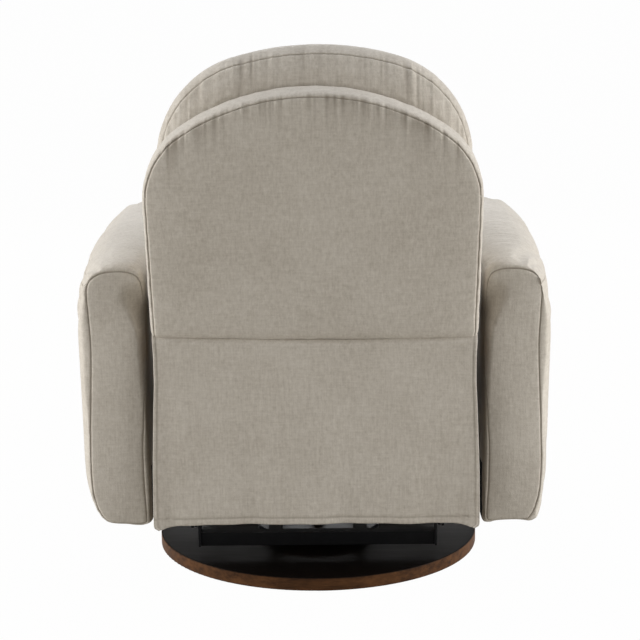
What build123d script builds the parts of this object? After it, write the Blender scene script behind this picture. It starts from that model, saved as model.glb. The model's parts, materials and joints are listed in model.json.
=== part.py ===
"""Swivel glider recliner: an upholstered nursery chair on a round wooden plinth.

The row frame has its origin at the centre of the plinth's underside, +Z up, and the sitter
faces -Y.  Millimetres and degrees throughout.  The chair comes apart into a plinth with a ball
race, a turning carriage, four swing links that the seat chassis hangs from, a reclining back
with a hanging skirt, and a footrest on two link pairs a side.
"""

from build123d import *
from math import atan2, cos, degrees, hypot, radians, sin
import os

os.makedirs("parts", exist_ok=True)

# ---------------------------------------------------------------- driving sizes
# Plinth and ball race
plinth_diameter = 625
plinth_thickness = 25
plinth_edge_round = 2.5
felt_thickness = 3
felt_inset = 14
race_diameter = 240
race_thickness = 4
race_gap = 6
ball_diameter = 8
ball_circle_inset = 32
ball_count = 20
race_screw_inset = 11
race_screw_count = 6
king_pin_diameter = 16

# Carriage and swing links
carriage_bar = 25
tube_wall = 2
carriage_rail_inset = 38
upright_width = 40
link_pivot_y = 150
link_pivot_top_z = 190
link_length = 100
link_width = 26
glide_pin_diameter = 10
bush_diameter = 16
pin_head_thickness = 2

# Steel plates
plate_thickness = 4
bar_thickness = 3
layer_gap = 2

# Seat chassis
side_plate_top_z = 342
cross_tube = 25
cross_tube_y = 85
cross_tube_z = 235
rail_width = 28
rail_height = 30
end_rail_thickness = 24
seat_front_y = -430
seat_rear_y = 147
seat_half_width = 290
seat_thickness = 112
seat_crown = 12
seat_corner_radius = 45
seat_edge_round = 26
seat_foot_round = 10
deck_thickness = 6
spring_count = 5
spring_wire = 3

# Arms
lever_room = 11
arm_thickness = 124
arm_bottom_z = 145
arm_top_z = 620
arm_front_y = -440
arm_rear_y = 330
arm_panel_thickness = 18
arm_top_corner = 45
arm_inner_corner = 30
arm_shoulder_z = 520
arm_taper = 6
arm_sweep_height = 80
arm_sweep_width = 30
arm_low_corner = 25
arm_edge_round = 16
batten_y = (-40, 118)
batten_z = 250
batten_size = 40
bolt_diameter = 6
bolt_depth = 15
screw_diameter = 5
screw_depth = 18

# Back, in a plane that leans back_tilt from upright
back_tilt = 10
back_foot_y = 345
back_foot_z = 488
shell_thickness = 65
shell_side_gap = 5
shell_taper = 6
shell_spring = 257
shell_rise = 195
shell_corner_radius = 150
cushion_thickness = 128
cushion_crown = 12
cushion_edge_round = 42
cushion_foot_round = 20
cushion_inset = 10
cushion_foot = -50
cushion_spring = 294
cushion_rise = 203
cushion_corner_radius = 185
stile_width = 40
frame_thickness = 28
frame_depth = 20
stile_foot = -150
bracket_low_up = -120
bracket_high_up = -60
bracket_screw_up = (-115, -70)
recline_pivot_y = 215
recline_pivot_z = 318

# Skirt
skirt_thickness = 4
skirt_bottom_z = 142
skirt_flare = 7
skirt_wave = 4
skirt_wave_count = 8

# Footrest linkage
drive_pivot_y = -245
drive_pivot_z = 305
drive_length = 170
drive_closed_angle = -50
drive_travel = 130
crank_length = 35
idler_spacing = 75
link_bar_width = 18
tilt_bar_width = 14
footrest_turn = 90
footrest_pivot_y = -360
footrest_pivot_z = 245
footrest_bottom_z = 150
footrest_top_z = 338
footrest_board_thickness = 12
footrest_pad_thickness = 38
footrest_crown = 10
footrest_corner_radius = 24
footrest_edge_round = 16
footrest_foot_round = 5
torque_tube_diameter = 16
rivet_diameter = 8

# Release lever, on the sitter's right
lever_y = -60
lever_width = 22
lever_thickness = 5
lever_top_z = 512

# Clearances
running = 0.05
seat_gap = 0.3

# ---------------------------------------------------------------- worked out from those
plinth_top_z = felt_thickness + plinth_thickness
lower_race_top_z = plinth_top_z + race_thickness
upper_race_z = lower_race_top_z + race_gap
carriage_z = upper_race_z + race_thickness
ball_z = lower_race_top_z + race_gap / 2

# Everything across the chair is packed inwards from the seat's rails, one steel layer at a time.
rail_outer_x = seat_half_width
side_plate_inner_x = rail_outer_x - rail_width
tilt_bar_x = side_plate_inner_x - layer_gap - bar_thickness
drive_bar_x = tilt_bar_x - layer_gap - bar_thickness
carrier_bar_x = drive_bar_x - layer_gap - bar_thickness
hanger_x = carrier_bar_x - bar_thickness - pin_head_thickness - plate_thickness
link_x = hanger_x - bar_thickness - plate_thickness
carriage_half_width = link_x - bar_thickness
upright_x = carriage_half_width - plate_thickness
side_plate_outer_x = side_plate_inner_x + plate_thickness
back_bracket_x = side_plate_outer_x + layer_gap + seat_gap
link_pivot_low_z = link_pivot_top_z - link_length

rail_top_z = side_plate_top_z + rail_height
seat_z = rail_top_z + deck_thickness
seat_middle_y = (seat_front_y + seat_rear_y) / 2

# The arms stand off the rails by the room for the lever; the back fits between them.
arm_inner_x = rail_outer_x + lever_room
arm_outer_x = arm_inner_x + arm_thickness
shell_half_width = arm_inner_x - shell_side_gap
shell_foot_half_width = shell_half_width - shell_taper
cushion_half_width = shell_half_width - cushion_inset
skirt_foot_half_width = shell_foot_half_width + skirt_flare
footrest_half_width = seat_half_width
front_rail_y = seat_front_y + 6
rear_rail_y = seat_rear_y + 4
footrest_back_y = footrest_pivot_y - 15


def swing(point, length, angle):
    """The point at a length and an angle from another, in the chair's side view (Y, Z)."""
    return (point[0] + length * cos(radians(angle)), point[1] + length * sin(radians(angle)))


def heading(start, end):
    """The angle from one point to another, in the chair's side view."""
    return degrees(atan2(end[1] - start[1], end[0] - start[0]))


# The drive link, the idler beside it and the carrier bar make a parallelogram.
drive_pivot = (drive_pivot_y, drive_pivot_z)
drive_end = swing(drive_pivot, drive_length, drive_closed_angle)
crank_end = swing(drive_pivot, drive_length + crank_length, drive_closed_angle)
footrest_pivot = (footrest_pivot_y, footrest_pivot_z)
carrier_angle = heading(drive_end, footrest_pivot)
idler_pivot = swing(drive_pivot, idler_spacing, carrier_angle)
idler_end = swing(drive_end, idler_spacing, carrier_angle)

# The tilt bar turns the footrest as the crank turns: both swing evenly about one direction.
crank_mean = drive_closed_angle - drive_travel / 2 - carrier_angle
crank_reach = cos(radians(crank_mean - drive_travel / 2)) - cos(radians(crank_mean + drive_travel / 2))
rocker_reach = cos(radians(crank_mean - footrest_turn / 2)) - cos(radians(crank_mean + footrest_turn / 2))
rocker_length = crank_length * crank_reach / rocker_reach
rocker_closed_angle = crank_mean + footrest_turn / 2 + carrier_angle
rocker_pin = swing(footrest_pivot, rocker_length, rocker_closed_angle)

recline_pivot = (recline_pivot_y, recline_pivot_z)
back_plane = Plane(
    origin=(0, back_foot_y, back_foot_z),
    x_dir=(1, 0, 0),
    z_dir=(0, -cos(radians(back_tilt)), sin(radians(back_tilt))),
)


def save(piece, label):
    """Names a finished piece and writes it as its own node."""
    piece.part.label = label
    export_step(piece.part, f"parts/{label}.step")


def on_back(up, depth):
    """The (Y, Z) of a point of the back, up its slope and forward from its rear face."""
    lean = radians(back_tilt)
    return (
        back_foot_y + up * sin(lean) - depth * cos(lean),
        back_foot_z + up * cos(lean) + depth * sin(lean),
    )


def arch_outline(half_foot, half_width, foot, spring, rise, corner_radius):
    """A three-centred arch on two nearly upright sides, closed along its foot."""
    across = half_width - corner_radius
    crown_radius = (across**2 + rise**2 - corner_radius**2) / (2 * (rise - corner_radius))
    turn = degrees(atan2(crown_radius - rise, across))
    with BuildLine() as outline:
        Line((half_foot, foot), (half_width, spring))
        CenterArc((across, spring), corner_radius, 0, turn)
        CenterArc((0, spring + rise - crown_radius), crown_radius, turn, 180 - 2 * turn)
        CenterArc((-across, spring), corner_radius, 180 - turn, turn)
        Line((-half_width, spring), (-half_foot, foot))
        Line((-half_foot, foot), (half_foot, foot))
    return outline.line


def flat_link(inner_x, thickness, start, end, width, holes):
    """A pair of flat links, left and right, with round ends and (point, diameter) holes."""
    middle = ((start[0] + end[0]) / 2, (start[1] + end[1]) / 2)
    span = hypot(end[0] - start[0], end[1] - start[1])
    with BuildPart() as pair:
        with BuildSketch(Plane.YZ.offset(inner_x)):
            with Locations(middle):
                SlotCenterToCenter(span, width, rotation=heading(start, end))
            for point, diameter in holes:
                with Locations(point):
                    Circle(diameter / 2, mode=Mode.SUBTRACT)
        extrude(amount=thickness)
        mirror(about=Plane.YZ)
    return pair


def cross_pins(
    points, x_from, x_to, diameter, head_x=None, head_diameter=0, head_thickness=pin_head_thickness
):
    """Pins along X through (Y, Z) points, on both sides, each with a head that starts at head_x."""
    with BuildPart() as pins:
        with BuildSketch(Plane.YZ.offset(x_from)):
            with Locations(*points):
                Circle(diameter / 2)
        extrude(amount=x_to - x_from)
        if head_x is not None:
            with BuildSketch(Plane.YZ.offset(head_x)):
                with Locations(*points):
                    Circle(head_diameter / 2)
            extrude(amount=head_thickness)
        mirror(about=Plane.YZ)
    return pins


def crowned_pad(plane, outline, thickness, crown, edge_round, foot_round):
    """A cushion raised on a plane: a domed face, deeper round edges there than at its foot."""
    reach = max(outline.bounding_box().size.X, outline.bounding_box().size.Y) / 2
    middle = outline.bounding_box().center()
    dome_radius = (reach**2 + crown**2) / (2 * crown)
    with BuildPart() as pad:
        with BuildSketch(plane):
            add(outline)
        extrude(amount=thickness + crown)
        with Locations(plane):
            with Locations((middle.X, middle.Y, thickness + crown - dome_radius)):
                Sphere(dome_radius, mode=Mode.INTERSECT)
        fillet(pad.faces().filter_by(GeomType.SPHERE).edges(), edge_round)
        fillet(pad.faces().sort_by(Axis(plane.origin, plane.z_dir))[0].edges(), foot_round)
    return pad


# ---------------------------------------------------------------- plinth and ball race
with BuildPart() as base_felt:
    Cylinder(plinth_diameter / 2 - felt_inset, felt_thickness, align=(Align.CENTER, Align.CENTER, Align.MIN))
save(base_felt, "base_felt")

king_head_radius = king_pin_diameter
king_head_depth = 5
race_radius = race_diameter / 2
race_screw_radius = race_radius - race_screw_inset
ball_circle_radius = race_radius - ball_circle_inset

with BuildPart() as base_disc:
    with BuildSketch(Plane.XY.offset(felt_thickness)):
        Circle(plinth_diameter / 2)
    extrude(amount=plinth_thickness)
    fillet(base_disc.edges().filter_by(GeomType.CIRCLE), plinth_edge_round)
    with Locations(base_disc.faces().sort_by(Axis.Z)[0]):
        CounterBoreHole(king_pin_diameter / 2 + running, king_head_radius + 1, king_head_depth)
    with Locations(base_disc.faces().sort_by(Axis.Z)[-1]):
        with PolarLocations(race_screw_radius, race_screw_count):
            Hole(screw_diameter / 2, screw_depth)
save(base_disc, "base_disc")

with BuildPart() as swivel_lower_race:
    with BuildSketch(Plane.XY.offset(plinth_top_z)):
        Circle(race_radius)
        Circle(king_pin_diameter / 2 + running, mode=Mode.SUBTRACT)
        with PolarLocations(race_screw_radius, race_screw_count):
            Circle(screw_diameter / 2, mode=Mode.SUBTRACT)
    extrude(amount=race_thickness)
    with Locations((0, 0, ball_z)):
        Torus(ball_circle_radius, ball_diameter / 2 + running, mode=Mode.SUBTRACT)
save(swivel_lower_race, "swivel_lower_race")

with BuildPart() as race_screws:
    with BuildSketch(Plane.XY.offset(plinth_top_z - screw_depth)):
        with PolarLocations(race_screw_radius, race_screw_count):
            Circle(screw_diameter / 2)
    extrude(amount=screw_depth + race_thickness)
    with BuildSketch(Plane.XY.offset(lower_race_top_z)):
        with PolarLocations(race_screw_radius, race_screw_count):
            Circle(screw_diameter)
    extrude(amount=race_gap * 0.4)
save(race_screws, "race_screws")

with BuildPart() as race_balls:
    with Locations((0, 0, ball_z)):
        with PolarLocations(ball_circle_radius, ball_count):
            Sphere(ball_diameter / 2)
save(race_balls, "race_balls")

cage_half_width = 7
cage_thickness = 2
with BuildPart() as ball_cage:
    with BuildSketch(Plane.XY.offset(ball_z - cage_thickness / 2)):
        Circle(ball_circle_radius + cage_half_width)
        Circle(ball_circle_radius - cage_half_width, mode=Mode.SUBTRACT)
        with PolarLocations(ball_circle_radius, ball_count):
            Circle(ball_diameter / 2 + 2 * running, mode=Mode.SUBTRACT)
    extrude(amount=cage_thickness)
save(ball_cage, "ball_cage")

king_nut_height = 10
king_washer_gap = seat_gap
with BuildPart() as king_pin:
    with BuildSketch(Plane.XY.offset(felt_thickness)):
        Circle(king_head_radius)
    extrude(amount=king_head_depth)
    with BuildSketch(Plane.XY.offset(felt_thickness)):
        Circle(king_pin_diameter / 2)
    extrude(amount=carriage_z + king_washer_gap + king_nut_height + 3 - felt_thickness)
save(king_pin, "king_pin")

with BuildPart() as king_nut:
    with BuildSketch(Plane.XY.offset(carriage_z + king_washer_gap)):
        RegularPolygon(king_pin_diameter * 0.85, 6)
        Circle(king_pin_diameter / 2, mode=Mode.SUBTRACT)
    extrude(amount=king_nut_height)
save(king_nut, "king_nut")

# ---------------------------------------------------------------- turning carriage
carriage_rail_x = race_radius - carriage_rail_inset
carriage_bolt_y = carriage_rail_x - 14
carriage_bolt_points = [(x * carriage_rail_x, y * carriage_bolt_y) for x in (-1, 1) for y in (-1, 1)]

with BuildPart() as swivel_upper_race:
    with BuildSketch(Plane.XY.offset(upper_race_z)):
        Circle(race_radius)
        Circle(king_pin_diameter / 2 + running, mode=Mode.SUBTRACT)
        with Locations(*carriage_bolt_points):
            Circle(bolt_diameter / 2, mode=Mode.SUBTRACT)
    extrude(amount=race_thickness)
    with Locations((0, 0, ball_z)):
        Torus(ball_circle_radius, ball_diameter / 2 + running, mode=Mode.SUBTRACT)
save(swivel_upper_race, "swivel_upper_race")

with BuildPart() as carriage_crossbars:
    with BuildSketch(Plane.YZ.offset(-upright_x)):
        with Locations(
            (-link_pivot_y, carriage_z + carriage_bar / 2),
            (link_pivot_y, carriage_z + carriage_bar / 2),
        ):
            Rectangle(carriage_bar, carriage_bar)
            Rectangle(carriage_bar - 2 * tube_wall, carriage_bar - 2 * tube_wall, mode=Mode.SUBTRACT)
    extrude(amount=2 * upright_x)
save(carriage_crossbars, "carriage_crossbars")

with BuildPart() as carriage_rails:
    with BuildSketch(Plane.XZ.offset(-(link_pivot_y - carriage_bar / 2))):
        with Locations(
            (-carriage_rail_x, carriage_z + carriage_bar / 2),
            (carriage_rail_x, carriage_z + carriage_bar / 2),
        ):
            Rectangle(carriage_bar, carriage_bar)
            Rectangle(carriage_bar - 2 * tube_wall, carriage_bar - 2 * tube_wall, mode=Mode.SUBTRACT)
    extrude(amount=2 * link_pivot_y - carriage_bar)
    with BuildSketch(Plane.XY.offset(carriage_z)):
        with Locations(*carriage_bolt_points):
            Circle(bolt_diameter / 2)
    extrude(amount=tube_wall, mode=Mode.SUBTRACT)
save(carriage_rails, "carriage_rails")

with BuildPart() as carriage_bolts:
    with BuildSketch(Plane.XY.offset(upper_race_z)):
        with Locations(*carriage_bolt_points):
            Circle(bolt_diameter / 2)
    extrude(amount=bolt_depth)
    with BuildSketch(Plane.XY.offset(upper_race_z - race_gap * 0.4)):
        with Locations(*carriage_bolt_points):
            Circle(bolt_diameter * 0.9)
    extrude(amount=race_gap * 0.4)
save(carriage_bolts, "carriage_bolts")

with BuildPart() as carriage_uprights:
    with BuildSketch(Plane.YZ.offset(upright_x)):
        for pivot_y in (-link_pivot_y, link_pivot_y):
            with Locations((pivot_y, link_pivot_top_z)):
                Circle(upright_width / 2)
            with Locations((pivot_y, carriage_z)):
                Rectangle(upright_width, link_pivot_top_z - carriage_z, align=(Align.CENTER, Align.MIN))
            with Locations((pivot_y, link_pivot_top_z)):
                Circle(glide_pin_diameter / 2, mode=Mode.SUBTRACT)
    extrude(amount=plate_thickness)
    mirror(about=Plane.YZ)
save(carriage_uprights, "carriage_uprights")

pin_head_diameter = 1.6 * glide_pin_diameter
pin_tail = 1.5
upper_glide_pins = cross_pins(
    [(-link_pivot_y, link_pivot_top_z), (link_pivot_y, link_pivot_top_z)],
    upright_x,
    hanger_x - pin_tail,
    glide_pin_diameter,
    upright_x - pin_head_thickness,
    pin_head_diameter,
)
save(upper_glide_pins, "upper_glide_pins")

# ---------------------------------------------------------------- swing links
for name, pivot_y in (("front", -link_pivot_y), ("rear", link_pivot_y)):
    top, low = (pivot_y, link_pivot_top_z), (pivot_y, link_pivot_low_z)
    bores = [(top, bush_diameter), (low, bush_diameter)]
    glide_links = flat_link(link_x, plate_thickness, top, low, link_width, bores)
    save(glide_links, f"{name}_glide_links")
    with BuildPart() as link_bushes:
        with BuildSketch(Plane.YZ.offset(link_x - 1)):
            with Locations(top, low):
                Circle(bush_diameter / 2)
                Circle(glide_pin_diameter / 2 + running, mode=Mode.SUBTRACT)
        extrude(amount=plate_thickness + 2)
        mirror(about=Plane.YZ)
    save(link_bushes, f"{name}_link_bushes")

# ---------------------------------------------------------------- seat chassis
side_plate_front_y = idler_pivot[0] - 16
side_plate_rear_y = recline_pivot_y + 24
side_plate_low_z = cross_tube_z - cross_tube / 2 - 8
plate_corner_radius = 8
flange_rear_y = rear_rail_y + end_rail_thickness
flange_length = flange_rear_y - side_plate_front_y
rail_screw_inset = 30
rail_screw_y = (
    side_plate_front_y + rail_screw_inset,
    (side_plate_front_y + rear_rail_y) / 2,
    rear_rail_y - rail_screw_inset,
)
rail_screw_x = (side_plate_outer_x + rail_outer_x) / 2
rail_screw_points = [(x, y) for x in (-rail_screw_x, rail_screw_x) for y in rail_screw_y]
batten_points = [(y, batten_z) for y in batten_y]

with BuildPart() as rail_screws:
    with BuildSketch(Plane.XY.offset(side_plate_top_z - plate_thickness)):
        with Locations(*rail_screw_points):
            Circle(screw_diameter / 2)
    extrude(amount=plate_thickness + screw_depth)
    with BuildSketch(Plane.XY.offset(side_plate_top_z - plate_thickness)):
        with Locations(*rail_screw_points):
            Circle(screw_diameter)
    extrude(amount=-2)
save(rail_screws, "rail_screws")

batten_bolts = cross_pins(
    batten_points,
    side_plate_inner_x,
    side_plate_outer_x + bolt_depth,
    bolt_diameter,
    side_plate_inner_x - 1,
    2 * bolt_diameter,
    1,
)
save(batten_bolts, "batten_bolts")

with BuildPart() as side_plates:
    with BuildSketch(Plane.YZ.offset(side_plate_inner_x)):
        with BuildLine():
            Polyline(
                (side_plate_front_y, side_plate_top_z),
                (side_plate_front_y, idler_pivot[1] - 16),
                (drive_pivot_y, drive_pivot_z - 22),
                (-cross_tube_y - 30, side_plate_low_z),
                (cross_tube_y + 30, side_plate_low_z),
                (side_plate_rear_y, recline_pivot_z - 24),
                (side_plate_rear_y, side_plate_top_z),
                close=True,
            )
        face = make_face()
        fillet(face.vertices().group_by(Axis.Y)[0], plate_corner_radius)
        with Locations(drive_pivot, idler_pivot, recline_pivot):
            Circle(glide_pin_diameter / 2 + running, mode=Mode.SUBTRACT)
        with Locations(*batten_points):
            Circle(bolt_diameter / 2, mode=Mode.SUBTRACT)
    extrude(amount=plate_thickness)
    with BuildSketch(Plane.XY.offset(side_plate_top_z - plate_thickness)):
        with Locations((side_plate_inner_x, side_plate_front_y)):
            Rectangle(rail_width - 2, flange_length, align=(Align.MIN, Align.MIN))
    extrude(amount=plate_thickness)
    mirror(about=Plane.YZ)
    add(rail_screws.part, mode=Mode.SUBTRACT)
save(side_plates, "side_plates")

with BuildPart() as cross_tubes:
    with BuildSketch(Plane.YZ.offset(-side_plate_inner_x)):
        with Locations((-cross_tube_y, cross_tube_z), (cross_tube_y, cross_tube_z)):
            Rectangle(cross_tube, cross_tube)
            Rectangle(cross_tube - 2 * tube_wall, cross_tube - 2 * tube_wall, mode=Mode.SUBTRACT)
    extrude(amount=2 * side_plate_inner_x)
save(cross_tubes, "cross_tubes")

hanger_top_z = cross_tube_z - cross_tube / 2
hanger_end_radius = 15
with BuildPart() as glide_hangers:
    for sign in (-1, 1):
        with BuildSketch(Plane.YZ.offset(hanger_x)):
            with BuildLine():
                Polyline(
                    (sign * (cross_tube_y - cross_tube / 2), hanger_top_z),
                    (sign * (cross_tube_y + cross_tube / 2), hanger_top_z),
                    (sign * (link_pivot_y + hanger_end_radius), link_pivot_low_z),
                    (sign * (link_pivot_y - hanger_end_radius), link_pivot_low_z),
                    close=True,
                )
            make_face()
            with Locations((sign * link_pivot_y, link_pivot_low_z)):
                Circle(hanger_end_radius)
                Circle(glide_pin_diameter / 2, mode=Mode.SUBTRACT)
        extrude(amount=plate_thickness)
    mirror(about=Plane.YZ)
save(glide_hangers, "glide_hangers")

lower_glide_pins = cross_pins(
    [(-link_pivot_y, link_pivot_low_z), (link_pivot_y, link_pivot_low_z)],
    carriage_half_width + pin_tail,
    hanger_x + plate_thickness,
    glide_pin_diameter,
    hanger_x + plate_thickness,
    pin_head_diameter,
)
save(lower_glide_pins, "lower_glide_pins")

lever_bolt_diameter = 8
lever_pivot = (lever_y, side_plate_top_z + rail_height / 2)
lever_x = -(rail_outer_x + 3)
with BuildPart() as lever_bolt:
    with BuildSketch(Plane.YZ.offset(-side_plate_outer_x - 4)):
        with Locations(lever_pivot):
            Circle(lever_bolt_diameter / 2)
    extrude(amount=lever_x - lever_thickness - seat_gap + side_plate_outer_x + 4)
    with BuildSketch(Plane.YZ.offset(lever_x - lever_thickness - seat_gap)):
        with Locations(lever_pivot):
            Circle(0.8 * lever_bolt_diameter)
    extrude(amount=-1.5)
save(lever_bolt, "lever_bolt")

with BuildPart() as seat_side_rails:
    with BuildSketch(Plane.XY.offset(side_plate_top_z)):
        with Locations((side_plate_inner_x, front_rail_y + end_rail_thickness)):
            Rectangle(
                rail_width, rear_rail_y - front_rail_y - end_rail_thickness, align=(Align.MIN, Align.MIN)
            )
    extrude(amount=rail_height)
    mirror(about=Plane.YZ)
    add(rail_screws.part, mode=Mode.SUBTRACT)
    add(lever_bolt.part, mode=Mode.SUBTRACT)
save(seat_side_rails, "seat_side_rails")

with BuildPart() as seat_end_rails:
    with BuildSketch(Plane.XY.offset(side_plate_top_z)):
        with Locations((0, front_rail_y), (0, rear_rail_y)):
            Rectangle(2 * rail_outer_x, end_rail_thickness, align=(Align.CENTER, Align.MIN))
    extrude(amount=rail_height)
save(seat_end_rails, "seat_end_rails")

border_thickness = 10
border_round = 4
with BuildPart() as front_border:
    with BuildSketch(Plane.XY.offset(side_plate_top_z)):
        with Locations((0, front_rail_y)):
            Rectangle(2 * rail_outer_x, border_thickness, align=(Align.CENTER, Align.MAX))
    extrude(amount=rail_height)
    fillet(front_border.faces().sort_by(Axis.Y)[0].edges(), border_round)
save(front_border, "front_border")

# Each sinuous spring runs from the front rail to the rear rail, just below their tops.
spring_z = rail_top_z - spring_wire
spring_start_y = front_rail_y + end_rail_thickness
spring_run = rear_rail_y - spring_start_y
spring_bends = 18
spring_half_width = 25
spring_pitch = spring_run / spring_bends
spring_corner = 0.4 * spring_pitch
spring_spacing = 2 * side_plate_inner_x / spring_count
spring_turns = [0] + [spring_half_width * (-1) ** bend for bend in range(spring_bends - 1)] + [0]
spring_points = [(0, spring_start_y)]
for bend in range(spring_bends):
    bend_y = spring_start_y + (bend + 0.5) * spring_pitch
    spring_points += [(spring_turns[bend], bend_y), (spring_turns[bend + 1], bend_y)]
spring_points += [(0, rear_rail_y)]

with BuildPart() as seat_springs:
    for row in range(spring_count):
        row_x = (row - (spring_count - 1) / 2) * spring_spacing
        with BuildSketch(Plane.XY.offset(spring_z)):
            with BuildLine():
                FilletPolyline(*[(row_x + x, y) for x, y in spring_points], radius=spring_corner)
            trace(line_width=spring_wire)
        extrude(amount=spring_wire)
save(seat_springs, "seat_springs")

clip_width = 14
clip_depth = 10
clip_thickness = 1.5
with BuildPart() as spring_clips:
    for row in range(spring_count):
        row_x = (row - (spring_count - 1) / 2) * spring_spacing
        for clip_y in (spring_start_y, rear_rail_y - clip_depth):
            with BuildSketch(Plane.XY.offset(spring_z - clip_thickness)):
                with Locations((row_x, clip_y)):
                    Rectangle(clip_width, clip_depth, align=(Align.CENTER, Align.MIN))
            extrude(amount=clip_thickness)
save(spring_clips, "spring_clips")

with BuildPart() as deck_pad:
    with BuildSketch(Plane.XY.offset(rail_top_z)):
        with Locations((0, (front_rail_y + rear_rail_y) / 2)):
            Rectangle(2 * rail_outer_x, rear_rail_y - front_rail_y)
    extrude(amount=deck_thickness)
save(deck_pad, "deck_pad")


with BuildSketch() as seat_outline:
    with Locations((0, seat_middle_y)):
        RectangleRounded(2 * seat_half_width, seat_rear_y - seat_front_y, seat_corner_radius)
seat_cushion = crowned_pad(
    Plane.XY.offset(seat_z + seat_gap),
    seat_outline.sketch,
    seat_thickness,
    seat_crown,
    seat_edge_round,
    seat_foot_round,
)
save(seat_cushion, "seat_cushion")

# ---------------------------------------------------------------- arms
arm_core_x = arm_inner_x + arm_thickness / 4
arm_core_margin = 38
with BuildPart() as arm_panels:
    with BuildSketch(Plane.YZ.offset(arm_core_x)):
        with BuildLine():
            Polyline(
                (arm_front_y + arm_core_margin, arm_bottom_z + 25),
                (arm_rear_y - arm_core_margin, arm_bottom_z + 25),
                (arm_rear_y - arm_core_margin, arm_top_z - arm_core_margin),
                (arm_front_y + arm_core_margin, arm_top_z - arm_core_margin),
                close=True,
            )
        face = make_face()
        fillet(face.vertices(), 25)
    extrude(amount=arm_panel_thickness)
    mirror(about=Plane.YZ)
save(arm_panels, "arm_panels")

with BuildPart() as arm_battens:
    with BuildSketch(Plane.YZ.offset(side_plate_outer_x)):
        with Locations(*batten_points):
            Rectangle(batten_size, batten_size)
    extrude(amount=arm_core_x - side_plate_outer_x)
    mirror(about=Plane.YZ)
    add(batten_bolts.part, mode=Mode.SUBTRACT)
save(arm_battens, "arm_battens")


def arm_upholstery(side):
    """One padded arm around its plywood panel and battens: its outer side narrows and sweeps in below."""
    sweep_x = arm_outer_x - arm_taper
    with BuildPart() as pad:
        with BuildSketch(Plane.XZ.offset(-arm_rear_y)):
            with BuildLine():
                Polyline(
                    (arm_inner_x, arm_bottom_z),
                    (sweep_x - arm_sweep_width, arm_bottom_z),
                    (sweep_x, arm_bottom_z + arm_sweep_height),
                    (arm_outer_x, arm_shoulder_z),
                    (arm_outer_x, arm_top_z),
                    (arm_inner_x, arm_top_z),
                    close=True,
                )
            face = make_face()
            low_corners, sweep_corners, shoulder_corners, high_corners = face.vertices().group_by(Axis.Y)
            fillet(high_corners.sort_by(Axis.X)[-1], arm_top_corner)
            fillet(high_corners.sort_by(Axis.X)[0], arm_inner_corner)
            fillet(low_corners.sort_by(Axis.X)[-1], arm_low_corner)
            fillet(sweep_corners + shoulder_corners, 2.5 * arm_sweep_height)
        extrude(amount=arm_rear_y - arm_front_y)
        fillet(pad.faces().sort_by(Axis.Y)[0].edges(), arm_edge_round)
        fillet(pad.faces().sort_by(Axis.Y)[-1].edges(), arm_edge_round)
        if side < 0:
            mirror(about=Plane.YZ, mode=Mode.REPLACE)
        add(arm_panels.part, mode=Mode.SUBTRACT)
        add(arm_battens.part, mode=Mode.SUBTRACT)
        add(batten_bolts.part, mode=Mode.SUBTRACT)
    return pad


save(arm_upholstery(1), "left_arm_pad")
save(arm_upholstery(-1), "right_arm_pad")

# ---------------------------------------------------------------- reclining back
stile_outer_x = back_bracket_x
stile_inner_x = stile_outer_x - stile_width
head_panel_foot = shell_spring
head_panel_margin = 45
cross_rail_height = 50
cross_rail_foots = (-70, 110)

screw_points = [on_back(up, frame_depth + frame_thickness / 2) for up in bracket_screw_up]
bracket_screws = cross_pins(
    screw_points,
    stile_outer_x - screw_depth,
    back_bracket_x + plate_thickness,
    screw_diameter,
    back_bracket_x + plate_thickness,
    2 * screw_diameter,
)
save(bracket_screws, "bracket_screws")

with BuildPart() as back_stiles:
    with BuildSketch(back_plane.offset(frame_depth)):
        with Locations((stile_inner_x, stile_foot)):
            Rectangle(stile_width, head_panel_foot - stile_foot, align=(Align.MIN, Align.MIN))
    extrude(amount=frame_thickness)
    mirror(about=Plane.YZ)
    add(bracket_screws.part, mode=Mode.SUBTRACT)
save(back_stiles, "back_stiles")

with BuildPart() as back_cross_rails:
    with BuildSketch(back_plane.offset(frame_depth)):
        with Locations(*[(0, foot) for foot in cross_rail_foots]):
            Rectangle(2 * stile_inner_x, cross_rail_height, align=(Align.CENTER, Align.MIN))
    extrude(amount=frame_thickness)
save(back_cross_rails, "back_cross_rails")

with BuildPart() as back_head_panel:
    with BuildSketch(back_plane.offset(frame_depth)):
        with BuildLine():
            add(
                arch_outline(
                    stile_outer_x,
                    stile_outer_x,
                    head_panel_foot,
                    head_panel_foot + 20,
                    shell_rise - head_panel_margin,
                    shell_corner_radius - head_panel_margin,
                )
            )
        make_face()
    extrude(amount=frame_thickness)
save(back_head_panel, "back_head_panel")

strap_count = 5
strap_width = 40
strap_thickness = 2
strap_first = -5
strap_pitch = 52
with BuildPart() as back_straps:
    with BuildSketch(back_plane.offset(frame_depth + frame_thickness)):
        with Locations(*[(0, strap_first + row * strap_pitch) for row in range(strap_count)]):
            Rectangle(2 * stile_outer_x, strap_width, align=(Align.CENTER, Align.MIN))
    extrude(amount=strap_thickness)
save(back_straps, "back_straps")

with BuildPart() as back_shell:
    with BuildSketch(back_plane):
        with BuildLine():
            add(
                arch_outline(
                    shell_foot_half_width, shell_half_width, 0, shell_spring, shell_rise, shell_corner_radius
                )
            )
        make_face()
    extrude(amount=shell_thickness)
    fillet(back_shell.faces().sort_by(Axis.Y)[-1].edges(), 8)
    for framing in (back_stiles, back_cross_rails, back_head_panel, back_straps):
        add(framing.part, mode=Mode.SUBTRACT)
save(back_shell, "back_shell")

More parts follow.
